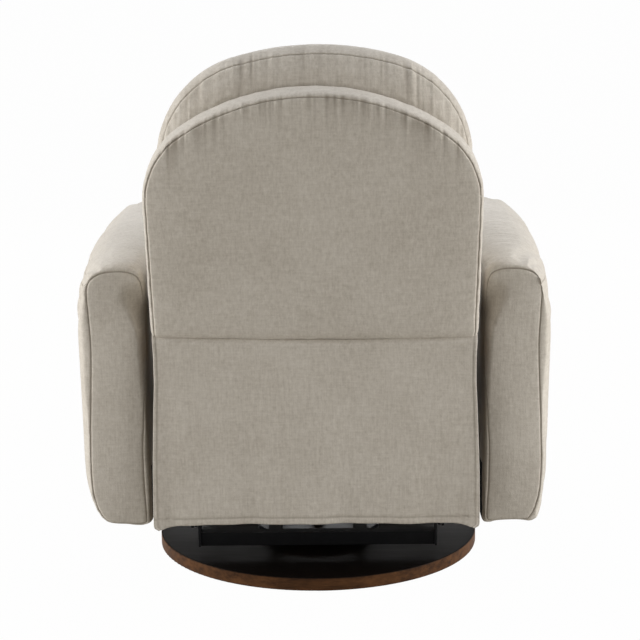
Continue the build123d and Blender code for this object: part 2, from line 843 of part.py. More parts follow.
with BuildSketch() as cushion_outline:
    with BuildLine():
        add(
            arch_outline(
                cushion_half_width,
                cushion_half_width,
                cushion_foot,
                cushion_spring,
                cushion_rise,
                cushion_corner_radius,
            )
        )
    make_face()
back_cushion = crowned_pad(
    back_plane.offset(shell_thickness + seat_gap),
    cushion_outline.sketch,
    cushion_thickness,
    cushion_crown,
    cushion_edge_round,
    cushion_foot_round,
)
save(back_cushion, "back_cushion")

bracket_top = on_back(bracket_high_up, frame_depth + frame_thickness / 2)
bracket_low = on_back(bracket_low_up, frame_depth + frame_thickness / 2)
bracket_radius = 14
with BuildPart() as back_brackets:
    with BuildSketch(Plane.YZ.offset(back_bracket_x)):
        with Locations(recline_pivot, bracket_top, bracket_low):
            Circle(bracket_radius)
        make_hull()
        with Locations(recline_pivot):
            Circle(glide_pin_diameter / 2 + running, mode=Mode.SUBTRACT)
        with Locations(*screw_points):
            Circle(screw_diameter / 2, mode=Mode.SUBTRACT)
    extrude(amount=plate_thickness)
    mirror(about=Plane.YZ)
save(back_brackets, "back_brackets")

back_hinge_pins = cross_pins(
    [recline_pivot],
    side_plate_inner_x,
    back_bracket_x + plate_thickness + seat_gap,
    glide_pin_diameter,
    back_bracket_x + plate_thickness + seat_gap,
    pin_head_diameter,
)
save(back_hinge_pins, "back_hinge_pins")

# ---------------------------------------------------------------- hanging skirt
skirt_top_z = back_foot_z - seat_gap
skirt_rear_y = back_foot_y - 1


def skirt_edge(half_width, wave):
    """The skirt's outline seen from above: even waves between two parallel bowed edges."""
    step = 2 * half_width / skirt_wave_count
    with BuildLine() as outline:
        for offset in (0, -skirt_thickness):
            for fold in range(skirt_wave_count):
                start_x = -half_width + fold * step
                height = wave if fold % 2 else -wave
                ThreePointArc(
                    (start_x, offset),
                    (start_x + step / 2, offset + height),
                    (start_x + step, offset),
                )
        for x in (-half_width, half_width):
            Line((x, 0), (x, -skirt_thickness))
    return outline.line


with BuildPart() as back_skirt:
    with BuildSketch(Plane.XY.offset(skirt_top_z)):
        with BuildLine(Plane.XY.offset(skirt_top_z)):
            with Locations((0, skirt_rear_y)):
                add(skirt_edge(shell_foot_half_width, skirt_wave / 8))
        make_face()
    with BuildSketch(Plane.XY.offset(skirt_bottom_z)):
        with BuildLine(Plane.XY.offset(skirt_bottom_z)):
            with Locations((0, skirt_rear_y)):
                add(skirt_edge(skirt_foot_half_width, skirt_wave))
        make_face()
    loft(ruled=True)
save(back_skirt, "back_skirt")

# ---------------------------------------------------------------- footrest
drive_links = flat_link(
    drive_bar_x,
    bar_thickness,
    drive_pivot,
    crank_end,
    link_bar_width,
    [
        (drive_pivot, torque_tube_diameter),
        (drive_end, rivet_diameter + 2 * running),
        (crank_end, rivet_diameter),
    ],
)
save(drive_links, "drive_links")

with BuildPart() as torque_tube:
    with BuildSketch(Plane.YZ.offset(-drive_bar_x - bar_thickness)):
        with Locations(drive_pivot):
            Circle(torque_tube_diameter / 2)
    extrude(amount=2 * (drive_bar_x + bar_thickness))
    with BuildSketch(Plane.YZ.offset(-side_plate_outer_x - 3)):
        with Locations(drive_pivot):
            Circle(glide_pin_diameter / 2)
    extrude(amount=2 * (side_plate_outer_x + 3))
save(torque_tube, "torque_tube")

idler_links = flat_link(
    drive_bar_x,
    bar_thickness,
    idler_pivot,
    idler_end,
    link_bar_width,
    [(idler_pivot, glide_pin_diameter + 2 * running), (idler_end, rivet_diameter + 2 * running)],
)
save(idler_links, "idler_links")

idler_pins = cross_pins(
    [idler_pivot],
    drive_bar_x,
    side_plate_outer_x,
    glide_pin_diameter,
    side_plate_outer_x,
    pin_head_diameter,
)
save(idler_pins, "idler_pins")

carrier_links = flat_link(
    carrier_bar_x,
    bar_thickness,
    drive_end,
    footrest_pivot,
    link_bar_width,
    [(drive_end, rivet_diameter), (idler_end, rivet_diameter), (footrest_pivot, rivet_diameter)],
)
save(carrier_links, "carrier_links")

rivet_head = 1.2
carrier_rivets = cross_pins(
    [drive_end, idler_end, footrest_pivot],
    carrier_bar_x,
    drive_bar_x + bar_thickness + seat_gap,
    rivet_diameter,
    drive_bar_x + bar_thickness + seat_gap,
    1.6 * rivet_diameter,
    rivet_head,
)
save(carrier_rivets, "carrier_rivets")

tilt_bars = flat_link(
    tilt_bar_x,
    bar_thickness,
    crank_end,
    rocker_pin,
    tilt_bar_width,
    [(crank_end, rivet_diameter + 2 * running), (rocker_pin, rivet_diameter)],
)
save(tilt_bars, "tilt_bars")

crank_rivets = cross_pins(
    [crank_end],
    drive_bar_x,
    tilt_bar_x + bar_thickness + seat_gap,
    rivet_diameter,
    tilt_bar_x + bar_thickness + seat_gap,
    1.5 * rivet_diameter,
    rivet_head,
)
save(crank_rivets, "crank_rivets")

# The footrest's end of the tilt bar is the linkage's open pivot, so this rivet stops short.
tilt_rivets = cross_pins(
    [rocker_pin],
    drive_bar_x + bar_thickness + seat_gap,
    tilt_bar_x + bar_thickness,
    rivet_diameter,
)
save(tilt_rivets, "tilt_rivets")

bracket_flange_width = 30
bracket_flange_low = footrest_bottom_z + 25
bracket_flange_over = 50
bracket_flange_high = footrest_pivot_z + bracket_flange_over
flange_screw_x = drive_bar_x - bracket_flange_width * 0.6
flange_screw_points = [
    (x, z)
    for x in (-flange_screw_x, flange_screw_x)
    for z in (bracket_flange_low + 15, bracket_flange_high - 15)
]
with BuildPart() as footrest_screws:
    with BuildSketch(Plane.XZ.offset(-(footrest_back_y + bar_thickness))):
        with Locations(*flange_screw_points):
            Circle(screw_diameter / 2)
    extrude(amount=bar_thickness + footrest_board_thickness - 2)
    with BuildSketch(Plane.XZ.offset(-(footrest_back_y + bar_thickness))):
        with Locations(*flange_screw_points):
            Circle(screw_diameter)
    extrude(amount=-2)
save(footrest_screws, "footrest_screws")

with BuildPart() as footrest_brackets:
    with BuildSketch(Plane.YZ.offset(drive_bar_x)):
        with Locations(footrest_pivot, rocker_pin):
            Circle(link_bar_width / 2)
        with Locations((footrest_back_y, bracket_flange_low)):
            Rectangle(bar_thickness, bracket_flange_high - bracket_flange_low, align=(Align.MIN, Align.MIN))
        make_hull()
        with Locations(footrest_pivot, rocker_pin):
            Circle(rivet_diameter / 2 + running, mode=Mode.SUBTRACT)
    extrude(amount=bar_thickness)
    with BuildSketch(Plane.XY.offset(bracket_flange_low)):
        with Locations((drive_bar_x, footrest_back_y)):
            Rectangle(bracket_flange_width, bar_thickness, align=(Align.MAX, Align.MIN))
    extrude(amount=bracket_flange_high - bracket_flange_low)
    mirror(about=Plane.YZ)
    add(footrest_screws.part, mode=Mode.SUBTRACT)
save(footrest_brackets, "footrest_brackets")

footrest_middle_z = (footrest_bottom_z + footrest_top_z) / 2
footrest_height = footrest_top_z - footrest_bottom_z
board_margin = 8
with BuildPart() as footrest_board:
    with BuildSketch(Plane.XZ.offset(-footrest_back_y)):
        with Locations((0, footrest_middle_z)):
            Rectangle(2 * (footrest_half_width - board_margin), footrest_height - 2 * board_margin)
    extrude(amount=footrest_board_thickness)
    add(footrest_screws.part, mode=Mode.SUBTRACT)
save(footrest_board, "footrest_board")

footrest_plane = Plane(
    origin=(0, footrest_back_y - footrest_board_thickness, footrest_middle_z),
    x_dir=(1, 0, 0),
    z_dir=(0, -1, 0),
)
with BuildSketch() as footrest_outline:
    RectangleRounded(2 * footrest_half_width, footrest_height, footrest_corner_radius)
footrest_pad = crowned_pad(
    footrest_plane,
    footrest_outline.sketch,
    footrest_pad_thickness,
    footrest_crown,
    footrest_edge_round,
    footrest_foot_round,
)
save(footrest_pad, "footrest_pad")

# ---------------------------------------------------------------- release lever
lever_tip = (lever_y, lever_top_z)
with BuildPart() as release_lever:
    with BuildSketch(Plane.YZ.offset(lever_x - lever_thickness)):
        with Locations(((lever_pivot[0] + lever_tip[0]) / 2, (lever_pivot[1] + lever_tip[1]) / 2)):
            SlotCenterToCenter(lever_tip[1] - lever_pivot[1], lever_width, rotation=90)
        with Locations(lever_pivot):
            Circle(lever_bolt_diameter / 2 + running, mode=Mode.SUBTRACT)
    extrude(amount=lever_thickness)
save(release_lever, "release_lever")

print("idler pivot", idler_pivot, "idler end", idler_end)
print("drive end", drive_end, "crank end", crank_end, "rocker pin", rocker_pin)
print("recline pivot", recline_pivot, "link pivots", link_pivot_y, link_pivot_top_z, link_pivot_low_z)
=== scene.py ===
# %% [markdown]
# # A swivel glider recliner, dressed
#
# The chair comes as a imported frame: plinth, turning carriage, glide links, seat chassis, back and footrest.
# This lesson sews its covers, paints its wood and steel, and sets it up as the photograph shows it: from
# behind, on a pale floor. Lengths are in metres, +Z is up and the sitter faces -Y.

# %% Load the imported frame
import json
from itertools import product
from math import atan2, ceil, cos, hypot, pi, radians, sin

import bmesh
import bpy
import numpy as np
from mathutils import Matrix, Vector
from mathutils.bvhtree import BVHTree
from mathutils.kdtree import KDTree


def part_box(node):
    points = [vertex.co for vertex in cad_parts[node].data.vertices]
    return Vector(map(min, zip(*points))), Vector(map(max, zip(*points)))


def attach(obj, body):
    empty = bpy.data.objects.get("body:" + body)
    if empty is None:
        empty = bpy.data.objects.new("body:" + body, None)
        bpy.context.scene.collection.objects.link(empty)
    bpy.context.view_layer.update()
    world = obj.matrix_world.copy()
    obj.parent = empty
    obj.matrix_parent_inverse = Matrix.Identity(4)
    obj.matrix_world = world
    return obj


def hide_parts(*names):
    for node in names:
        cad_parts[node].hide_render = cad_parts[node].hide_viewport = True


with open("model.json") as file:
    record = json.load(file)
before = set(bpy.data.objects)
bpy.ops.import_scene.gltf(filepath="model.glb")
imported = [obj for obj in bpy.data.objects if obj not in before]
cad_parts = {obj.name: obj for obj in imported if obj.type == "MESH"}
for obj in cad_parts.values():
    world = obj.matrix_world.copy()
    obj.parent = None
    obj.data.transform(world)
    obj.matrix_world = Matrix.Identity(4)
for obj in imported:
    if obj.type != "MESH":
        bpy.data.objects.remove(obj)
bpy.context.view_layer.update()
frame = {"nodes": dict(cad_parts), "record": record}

# %% [markdown]
# ## Where the camera stands
#
# The photograph looks at the back of the chair from a little above, almost straight on, through a long lens.
# Its place was found from the plinth's ellipse, the width over the arms and the way their tops narrow. The
# camera was held a shade askew, by about half a degree, and the picture needs no shift.

# %% Camera
camera_place = Vector((-0.0325, 3.8150, 1.2870))
camera_pitch = radians(12.41)
camera_aim = radians(0.115)
camera_roll = radians(-0.6)
lens_length = 112.5
sensor_width = 36

camera = bpy.data.objects.new("photo_camera", bpy.data.cameras.new("photo_camera"))
bpy.context.scene.collection.objects.link(camera)
camera.location = camera_place
turned = Matrix.Rotation(atan2(camera_place.x, -camera_place.y) - camera_aim, 3, "Z")
tipped = Matrix.Rotation(pi / 2 - camera_pitch, 3, "X")
rolled = Matrix.Rotation(camera_roll, 3, "Z")
camera.rotation_euler = (turned @ tipped @ rolled).to_euler()
camera.data.lens = lens_length
camera.data.sensor_width = sensor_width
camera.data.clip_end = 100
bpy.context.scene.camera = camera
bpy.context.scene.view_settings.view_transform = "Standard"
print("camera distance from the swivel axis:", round(hypot(camera_place.x, camera_place.y), 3))

# %% [markdown]
# ## A shorthand for shader maths
#
# A material's pattern is a small sum of textures. Written with nodes, each plus sign is a Math node with two
# links. One small class around a socket lets Python's own operators add those nodes, so a pattern reads as
# the sum that it is. Every other node comes from one method.


# %% Sockets that add and multiply
class Signal:
    """A socket of a material's node tree that takes part in Python sums."""

    def __init__(self, recipe, socket):
        self.recipe = recipe
        self.socket = socket

    def maths(self, operation, first, second):
        return self.recipe.node("ShaderNodeMath", {"operation": operation}, {0: first, 1: second})

    def __add__(self, other):
        return self.maths("ADD", self, other)

    def __sub__(self, other):
        return self.maths("SUBTRACT", self, other)

    def __rsub__(self, other):
        return self.maths("SUBTRACT", other, self)

    def __mul__(self, other):
        return self.maths("MULTIPLY", self, other)

    __radd__ = __add__
    __rmul__ = __mul__


class Recipe:
    """A new material, or the world, with its own shader and the method that makes its other nodes."""

    def __init__(self, owner, shader="Principled BSDF"):
        self.owner = owner
        self.owner.use_nodes = True
        self.tree = self.owner.node_tree
        self.shader = self.tree.nodes[shader]

    def feed(self, socket, value):
        if isinstance(value, Signal):
            self.tree.links.new(value.socket, socket)
        else:
            socket.default_value = value

    def node(self, kind, settings=None, sockets=None, output=0):
        """A node of that kind: its settings first, then the values or links of its sockets."""
        made = self.tree.nodes.new(kind)
        for name, value in (settings or {}).items():
            if name == "stops":
                fill_ramp(made.color_ramp, value)
            else:
                setattr(made, name, value)
        for name, value in (sockets or {}).items():
            self.feed(made.inputs[name], value)
        return Signal(self, made.outputs[output])

    def finish(self, **sockets):
        """Feeds the shader's own sockets, named with underscores for spaces."""
        for name, value in sockets.items():
            self.feed(self.shader.inputs[name.replace("_", " ")], value)
        return self.owner


def new_recipe(name):
    return Recipe(bpy.data.materials.new(name))


def fill_ramp(ramp, stops):
    """Sets a ramp's stops, from (place, colour) pairs."""
    while len(ramp.elements) < len(stops):
        ramp.elements.new(0.5)
    for element, (place, colour) in zip(ramp.elements, stops):
        element.position = place
        element.color = colour


def paint(red, green, blue):
    """A colour as a picture shows it, 0 to 255, in the linear values that a shader takes."""
    shares = [value / 255 for value in (red, green, blue)]
    linear = [((s + 0.055) / 1.055) ** 2.4 if s > 0.04045 else s / 12.92 for s in shares]
    return (*linear, 1.0)


def speckle(recipe, place, scale, detail=2.0, roughness=0.5):
    """Soft random noise at a scale of cells per metre."""
    sockets = {"Vector": place, "Scale": scale, "Detail": detail, "Roughness": roughness}
    return recipe.node("ShaderNodeTexNoise", {"noise_dimensions": "3D"}, sockets)


def stretched(recipe, place, scale):
    """The same place with its axes scaled, so that a pattern on it is drawn out."""
    return recipe.node("ShaderNodeMapping", {"vector_type": "POINT"}, {"Vector": place, "Scale": scale})


def object_place(recipe):
    """Where a point is on the chair, in metres."""
    return recipe.node("ShaderNodeTexCoord", output="Object")


def bump(recipe, height, distance, strength=1.0):
    """A small relief, distance metres high."""
    sockets = {"Strength": strength, "Distance": distance, "Height": height}
    return recipe.node("ShaderNodeBump", {}, sockets, "Normal")


def toned(recipe, tone, *stops):
    """The colour that a tone has on a ramp of (place, colour) stops."""
    return recipe.node("ShaderNodeValToRGB", {"stops": stops}, {"Fac": tone})


def between(recipe, share, first, second):
    """A colour part of the way from one to another."""
    settings = {"data_type": "RGBA", "blend_type": "MIX"}
    return recipe.node("ShaderNodeMix", settings, {0: share, 6: first, 7: second}, 2)


# %% [markdown]
# ## The cover cloth
#
# The chair wears one cream cloth all over: a brushed weave with a short pile, matt, with thin upright
# slubs, a fine mottle and slow clouds where the pile lies another way. It could be a flat colour with
# a repeated picture of threads, but that shows its repeat. Here it is four layers of noise on the chair's
# own coordinates: clouds, mottle, slubs and threads. The mesh carries an attribute, "crease", of painted
# shade: it is high in a seam's crease and 0 away from it, and also high in folds, puckers, the arms'
# hollows and their hidden inner sides, and the cloth is painted darker there, where little light gets in.

# %% Cover cloth
cloth_dark = paint(194, 186, 174)
cloth_middle = paint(211, 204, 193)
cloth_light = paint(225, 219, 209)
# painted shade: the colour that the cloth takes in creases, folds, hollows and on hidden sides
cloth_crease_shade = paint(118, 105, 88)
thread_pitch, cloth_relief = 0.0014, 0.0008


def cover_cloth(name, dark, middle, light, crease):
    recipe = new_recipe(name)
    place = object_place(recipe)
    clouds = speckle(recipe, place, 9, 3)
    mottle = speckle(recipe, place, 130, 3, 0.65)
    slubs = speckle(recipe, stretched(recipe, place, (1, 1, 0.12)), 330, 2)
    weft = speckle(recipe, stretched(recipe, place, (0.12, 0.12, 1)), 330, 2)
    threads = speckle(recipe, stretched(recipe, place, (1, 1, 0.5)), 1 / thread_pitch, 1)
    tone = clouds * 0.16 + mottle * 0.3 + slubs * 0.24 + weft * 0.16 + threads * 0.14
    woven = toned(recipe, tone, (0.36, dark), (0.5, middle), (0.64, light))
    # painted shade: the mesh's crease attribute mixes the woven colour toward the shade colour
    crease_shade_share = recipe.node("ShaderNodeAttribute", {"attribute_name": "crease"}, output="Fac")
    colour = between(recipe, crease_shade_share, woven, crease)
    relief = bump(recipe, mottle * 0.5 + slubs * 0.3 + threads * 0.4, cloth_relief, 0.7)
    return recipe.finish(
        Base_Color=colour,
        Roughness=0.92 - mottle * 0.08,
        Normal=relief,
        Sheen_Weight=0.25,
        Sheen_Roughness=0.45,
        Specular_IOR_Level=0.2,
    )


cream_cloth = cover_cloth("cream_cloth", cloth_dark, cloth_middle, cloth_light, cloth_crease_shade)

# %% [markdown]
# ## Wood, steel and the hidden stuffs
#
# The plinth is stained walnut: dark, satin, its grain in long streaks across the board and round its rim.
# Its upper face lies in the chair's shadow and is painted nearly black: painted shade. The frame inside is
# plain softwood and plywood, the mechanism black powder-coated steel with pins in black zinc, and small
# parts are felt, webbing, nylon and a thin black lining, which also paints the shade of the gap beside the
# mechanism. Each gets its own streaks, flakes or fibres, so that it holds up from the side and from below
# too.


# %% Wood
# painted shade: the near-black that the plinth's top face takes, for the chair's shadow on it
top_shade_black = paint(12, 7, 5)
top_shade_depth = 0.002


def wood(name, dark, light, along, rings, gloss, streaks=90, relief=0.0003, shine=0.4, top=None):
    """Straight-grained wood: noise drawn out along the grain, over broad bands of tone.

    From the height top up it is painted nearly black: painted shade, for a face that lies in shadow."""
    recipe = new_recipe(name)
    place = object_place(recipe)
    grain = stretched(recipe, place, along)
    fibres = speckle(recipe, grain, streaks, 4, 0.6)
    bands = speckle(recipe, grain, rings, 2)
    pores = speckle(recipe, grain, streaks * 5, 2)
    tone = fibres * 0.5 + bands * 0.35 + pores * 0.15
    colour = toned(recipe, tone, (0.34, dark), (0.66, light))
    # painted shade: from the top line up the colour runs to near-black
    if top is not None:
        height = recipe.node("ShaderNodeSeparateXYZ", {}, {"Vector": place}, "Z")
        span = {"Value": height, "From Min": top - top_shade_depth, "From Max": top}
        top_shade_share = recipe.node("ShaderNodeMapRange", {}, span)
        colour = between(recipe, top_shade_share, colour, top_shade_black)
    return recipe.finish(
        Base_Color=colour,
        Roughness=gloss + fibres * 0.15,
        Normal=bump(recipe, fibres * 0.6 + pores * 0.4, relief, 0.6),
        Specular_IOR_Level=shine,
    )


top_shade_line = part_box("base_disc")[1].z - 0.0005
stain_dark, stain_light = paint(36, 22, 14), paint(112, 76, 48)
walnut = wood("walnut_stain", stain_dark, stain_light, (0.12, 1, 1), 22, 0.5, shine=0.08, top=top_shade_line)
softwood = wood("planed_softwood", paint(186, 146, 96), paint(222, 190, 142), (1, 0.2, 0.2), 18, 0.6)
plywood = wood("sanded_plywood", paint(170, 128, 82), paint(208, 170, 120), (0.2, 0.2, 1), 26, 0.62)


# %% Steel
def metal(name, dark, light, metallic, rough, flake_scale, relief, shine=0.5):
    """Painted or plated steel: fine flakes in its gloss and a soft change of tone."""
    recipe = new_recipe(name)
    place = object_place(recipe)
    flakes = speckle(recipe, place, flake_scale, 2)
    wear = speckle(recipe, place, 35, 3)
    tone = flakes * 0.5 + wear * 0.5
    colour = toned(recipe, tone, (0.35, dark), (0.65, light))
    return recipe.finish(
        Base_Color=colour,
        Metallic=metallic,
        Roughness=rough + flakes * 0.12 + wear * 0.08,
        Normal=bump(recipe, flakes, relief, 0.5),
        Specular_IOR_Level=shine,
    )


black_steel = metal("powder_coated_steel", paint(8, 8, 9), paint(20, 20, 22), 0.0, 0.5, 1400, 0.0001, 0.12)
bright_steel = metal("black_zinc_steel", paint(38, 39, 42), paint(64, 66, 70), 1.0, 0.32, 700, 0.00005)
nylon = metal("black_nylon", paint(14, 14, 15), paint(30, 30, 32), 0.0, 0.5, 500, 0.00005, 0.2)


# %% Felt and webbing
def fibre(name, dark, light, along, scale, relief):
    """A cloth of loose or woven fibres, for parts that hardly show."""
    recipe = new_recipe(name)
    place = object_place(recipe)
    strands = speckle(recipe, stretched(recipe, place, along), scale, 3, 0.7)
    tufts = speckle(recipe, place, scale / 6, 2)
    tone = strands * 0.6 + tufts * 0.4
    colour = toned(recipe, tone, (0.35, dark), (0.65, light))
    return recipe.finish(
        Base_Color=colour,
        Roughness=0.9 + tufts * 0.08,
        Normal=bump(recipe, strands, relief, 0.8),
        Specular_IOR_Level=0.15,
    )


felt = fibre("pressed_felt", paint(36, 36, 38), paint(66, 66, 68), (1, 1, 1), 900, 0.0006)
pale_felt = fibre("pale_felt", paint(170, 164, 152), paint(196, 190, 178), (1, 1, 1), 900, 0.0006)
# a black lining for the arms' low inner faces, black to paint the deep shade of the gap there
gap_shade_lining = fibre("black_gap_shade_lining", paint(10, 10, 11), paint(24, 24, 25), (1, 1, 0.4), 700, 0.0003)
webbing = fibre("elastic_webbing", paint(96, 84, 66), paint(150, 136, 112), (0.15, 1, 1), 500, 0.0006)

# %% [markdown]
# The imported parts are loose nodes, each with the material slot that the record gives it. One table from
# slot to finish paints them all. Their meshes stay as they are.

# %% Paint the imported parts
finishes = {
    "upholstery_fabric": cream_cloth,
    "walnut": walnut,
    "felt": felt,
    "webbing": webbing,
    "plywood": plywood,
    "softwood": softwood,
    "black_steel": black_steel,
    "bright_steel": bright_steel,
    "nylon": nylon,
}
for subpart in frame["record"]["subparts"]:
    packed = frame["nodes"][subpart["node"]]
    packed.data.materials.clear()
    packed.data.materials.append(finishes[subpart["material_slot"]])
print("painted", len(frame["nodes"]), "packed parts in", len(finishes), "finishes")

# %% [markdown]
# ## Floor, sky and lamps
#
# A product picture has a white floor that runs out of sight, and lamps so large that shadows have no edge.
# A white floor lit until it is white would over-light the chair, so the floor shows most of its white to the
# camera only, through Light Path, and keeps a soft shadow. The sky does the same. One big lamp hangs above,
# one stands at each side, a little behind the chair, and one before it. They graze the back that the
# photograph looks at, so it is a step darker than the tops of the arms.

# %% Floor and world
floor_reach = 40.0
floor_share = 0.985


def ray_kind(recipe, kind):
    """Whether the ray that asks comes from the camera, a mirror or glass: 1 or 0."""
    return recipe.node("ShaderNodeLightPath", output=f"Is {kind} Ray")


def mix_in(recipe, share, other, output):
    """Shows another shader in place of the recipe's own, by that share."""
    own = Signal(recipe, recipe.shader.outputs[0])
    mixed = recipe.node("ShaderNodeMixShader", {}, {0: share, 1: own, 2: other})
    recipe.feed(recipe.tree.nodes[output].inputs["Surface"], mixed)


recipe = new_recipe("studio_floor")
grit = speckle(recipe, object_place(recipe), 3, 2)
recipe.finish(Base_Color=paint(184, 180, 172), Roughness=0.9 + grit * 0.05, Specular_IOR_Level=0.1)
glow = recipe.node("ShaderNodeEmission", {}, {"Color": (1, 1, 1, 1), "Strength": 1.0})
seen, mirrored, through = (ray_kind(recipe, kind) for kind in ("Camera", "Glossy", "Transmission"))
mix_in(recipe, (seen + mirrored + through) * floor_share, glow, "Material Output")

mesh = bmesh.new()
bmesh.ops.create_grid(mesh, x_segments=1, y_segments=1, size=floor_reach)
floor = bpy.data.objects.new("studio_floor", bpy.data.meshes.new("studio_floor"))
mesh.to_mesh(floor.data)
mesh.free()
bpy.context.scene.collection.objects.link(floor)
floor.data.materials.append(recipe.owner)

bpy.context.scene.world = bpy.data.worlds.new("studio")
sky = Recipe(bpy.context.scene.world, "Background")
sky.finish(Color=(1.0, 0.955, 0.895, 1), Strength=0.23)
backdrop = sky.node("ShaderNodeBackground", {}, {"Color": (1, 1, 1, 1)})
seen, mirrored = ray_kind(sky, "Camera"), ray_kind(sky, "Glossy")
mix_in(sky, seen.maths("MAXIMUM", seen, mirrored), backdrop, "World Output")


# %% Lamps
def softbox(name, place, target, width, power, tint=(1.0, 1.0, 1.0)):
    """A large square lamp that faces its target."""
    lamp = bpy.data.objects.new(name, bpy.data.lights.new(name, "AREA"))
    bpy.context.scene.collection.objects.link(lamp)
    lamp.data.shape = "SQUARE"
    lamp.data.size = width
    lamp.data.energy = power
    lamp.data.color = tint
    lamp.visible_camera = False
    lamp.location = place
    aim = Vector(target) - Vector(place)
    lamp.rotation_euler = aim.to_track_quat("-Z", "Y").to_euler()
    return lamp


chair_middle = (0, 0, 0.5)
softbox("top_lamp", (0.0, -0.1, 3.4), chair_middle, 2.6, 26, (0.95, 0.98, 1.04))
softbox("left_lamp", (3.3, 0.8, 1.0), chair_middle, 2.0, 87)
softbox("right_lamp", (-3.3, 0.8, 1.0), chair_middle, 2.0, 87)
softbox("front_lamp", (0.0, -3.6, 1.6), chair_middle, 2.0, 44)

# %% [markdown]
# ## How the covers are made
#
# Each cover starts as a plain block: an outline with round corners, drawn out to its depth, with its
# edges bevelled. Voxel remeshing gives it an even net of small faces. Then the cloth is sewn: its seams are
# pinned, and Blender's cloth solver blows the cover up a little, so the panels swell between the seams as
# stuffed panels do. How far a point may move is capped. Subdivision smooths the net, the faces near
# a seam are divided again, and each seam is pulled in to a crease with the puckers that thread makes.


# %% Outlines with round corners
def arc(centre, radius, start, sweep, step=0.006):
    """Points about a step apart along an arc, in degrees, without its last point."""
    count = max(2, ceil(radius * abs(radians(sweep)) / step))
    turns = [radians(start + sweep * number / count) for number in range(count)]
    return [(centre[0] + radius * cos(turn), centre[1] + radius * sin(turn)) for turn in turns]


def arch(half_foot, half_width, foot, spring, rise, corner, inset=0.0):
    """A three-centred arch on two nearly upright sides, anticlockwise from its right foot."""
    across = half_width - corner
    crown = (across**2 + rise**2 - corner**2) / (2 * (rise - corner))
    turn = atan2(crown - rise, across) * 180 / pi
    points = [(half_foot - inset, foot)]
    points += arc((across, spring), corner - inset, 0, turn)
    points += arc((0, spring + rise - crown), crown - inset, turn, 180 - 2 * turn)
    points += arc((-across, spring), corner - inset, 180 - turn, turn)
    points += [(-half_width + inset, spring), (-half_foot + inset, foot)]
    return points


def round_box(low, high, corners):
    """A rectangle from low to high with a radius for each corner, from the lower right, anticlockwise."""
    turns = (-90, 0, 90, 180)
    places = ((high[0], low[1]), (high[0], high[1]), (low[0], high[1]), (low[0], low[1]))
    inward = ((-1, 1), (-1, -1), (1, -1), (1, 1))
    points = []
    for place, way, turn, radius in zip(places, inward, turns, corners):
        centre = (place[0] + way[0] * radius, place[1] + way[1] * radius)
        points += arc(centre, radius, turn, 90)
    return points


def centred_box(half, inset, corner):
    """A rectangle about the middle, drawn in by the inset, with four equal corners."""
    across, up = half[0] - inset, half[1] - inset
    return round_box((-across, -up), (across, up), [corner] * 4)


path_step = 0.001


def even(points, closed=True):
    """Points at even steps along a path."""
    loop = np.array(points, float)
    if closed:
        loop = np.vstack([loop, loop[:1]])
    runs = np.concatenate([[0], np.cumsum(np.linalg.norm(np.diff(loop, axis=0), axis=1))])
    places = np.linspace(0, runs[-1], int(runs[-1] / path_step) + 1)
    return np.stack([np.interp(places, runs, loop[:, axis]) for axis in range(loop.shape[1])], axis=1)


def smooth_path(points, closed=True, share=8):
    """A smooth curve through given points."""
    knots = [np.array(point, float) for point in points]
    knots = knots[-1:] + knots + knots[:2] if closed else knots[:1] + knots + knots[-1:]
    path = []
    for before, here, there, after in zip(knots, knots[1:], knots[2:], knots[3:]):
        for part in range(share):
            t = part / share
            bend = 2 * here + (there - before) * t
            bend += (2 * before - 5 * here + 4 * there - after) * t**2
            bend += (3 * here - before - 3 * there + after) * t**3
            path.append(tuple(bend / 2))
    if not closed:
        path.append(tuple(points[-1]))
    return path


# %% From outline to block
def panel_frame(origin, right, up):
    """The frame of a panel: its right, its up and its depth, away from who looks at its face."""
    right, up = Vector(right), Vector(up)
    depth = right.cross(up)
    rows = [[right[axis], up[axis], depth[axis], origin[axis]] for axis in range(3)]
    return Matrix(rows + [[0, 0, 0, 1]])


def along_depth(piece, panel):
    """How deep each of the piece's points lies behind the panel's face."""
    flat = np.array(panel.inverted())
    return points_of(piece) @ flat[2, :3] + flat[2, 3]


def keep_before(piece, panel, depth):
    """Moves the points that came nearer than that depth back to it."""
    short = np.maximum(depth - along_depth(piece, panel), 0)
    move_to(piece, points_of(piece) + short[:, None] * np.array(panel.col[2][:3]))


def round_over(mesh, edges, radius, segments, **settings):
    """Bevels the edges to a round of that radius."""
    settings |= {"offset_type": "OFFSET", "affect": "EDGES", "profile": 0.5, "material": -1}
    bmesh.ops.bevel(mesh, geom=edges, offset=radius, segments=segments, **settings)


def block(outline, panel, near, far, near_round, far_round, segments=5):
    """A closed block: the outline's face drawn out in depth, with its two rims bevelled."""
    mesh = bmesh.new()
    rim = [mesh.verts.new(panel @ Vector((*point, near))) for point in outline]
    face = mesh.faces.new(rim)
    grown = bmesh.ops.extrude_face_region(mesh, geom=[face])
    far_verts = [item for item in grown["geom"] if isinstance(item, bmesh.types.BMVert)]
    bmesh.ops.translate(mesh, verts=far_verts, vec=panel.to_3x3() @ Vector((0, 0, far - near)))
    bmesh.ops.recalc_face_normals(mesh, faces=mesh.faces)
    flat = panel.inverted()
    for depth, radius in ((near, near_round), (far, far_round)):
        if radius:
            on_rim = {vert for vert in mesh.verts if abs((flat @ vert.co).z - depth) < 1e-5}
            edges = [edge for edge in mesh.edges if on_rim.issuperset(edge.verts)]
            round_over(mesh, edges, radius, segments, clamp_overlap=True)
    return mesh


def new_piece(name, mesh, material):
    """Turns a bmesh into a smooth-shaded object in the scene."""
    for face in mesh.faces:
        face.smooth = True
    piece = bpy.data.objects.new(name, bpy.data.meshes.new(name))
    mesh.to_mesh(piece.data)
    mesh.free()
    bpy.context.scene.collection.objects.link(piece)
    piece.data.materials.append(material)
    return piece


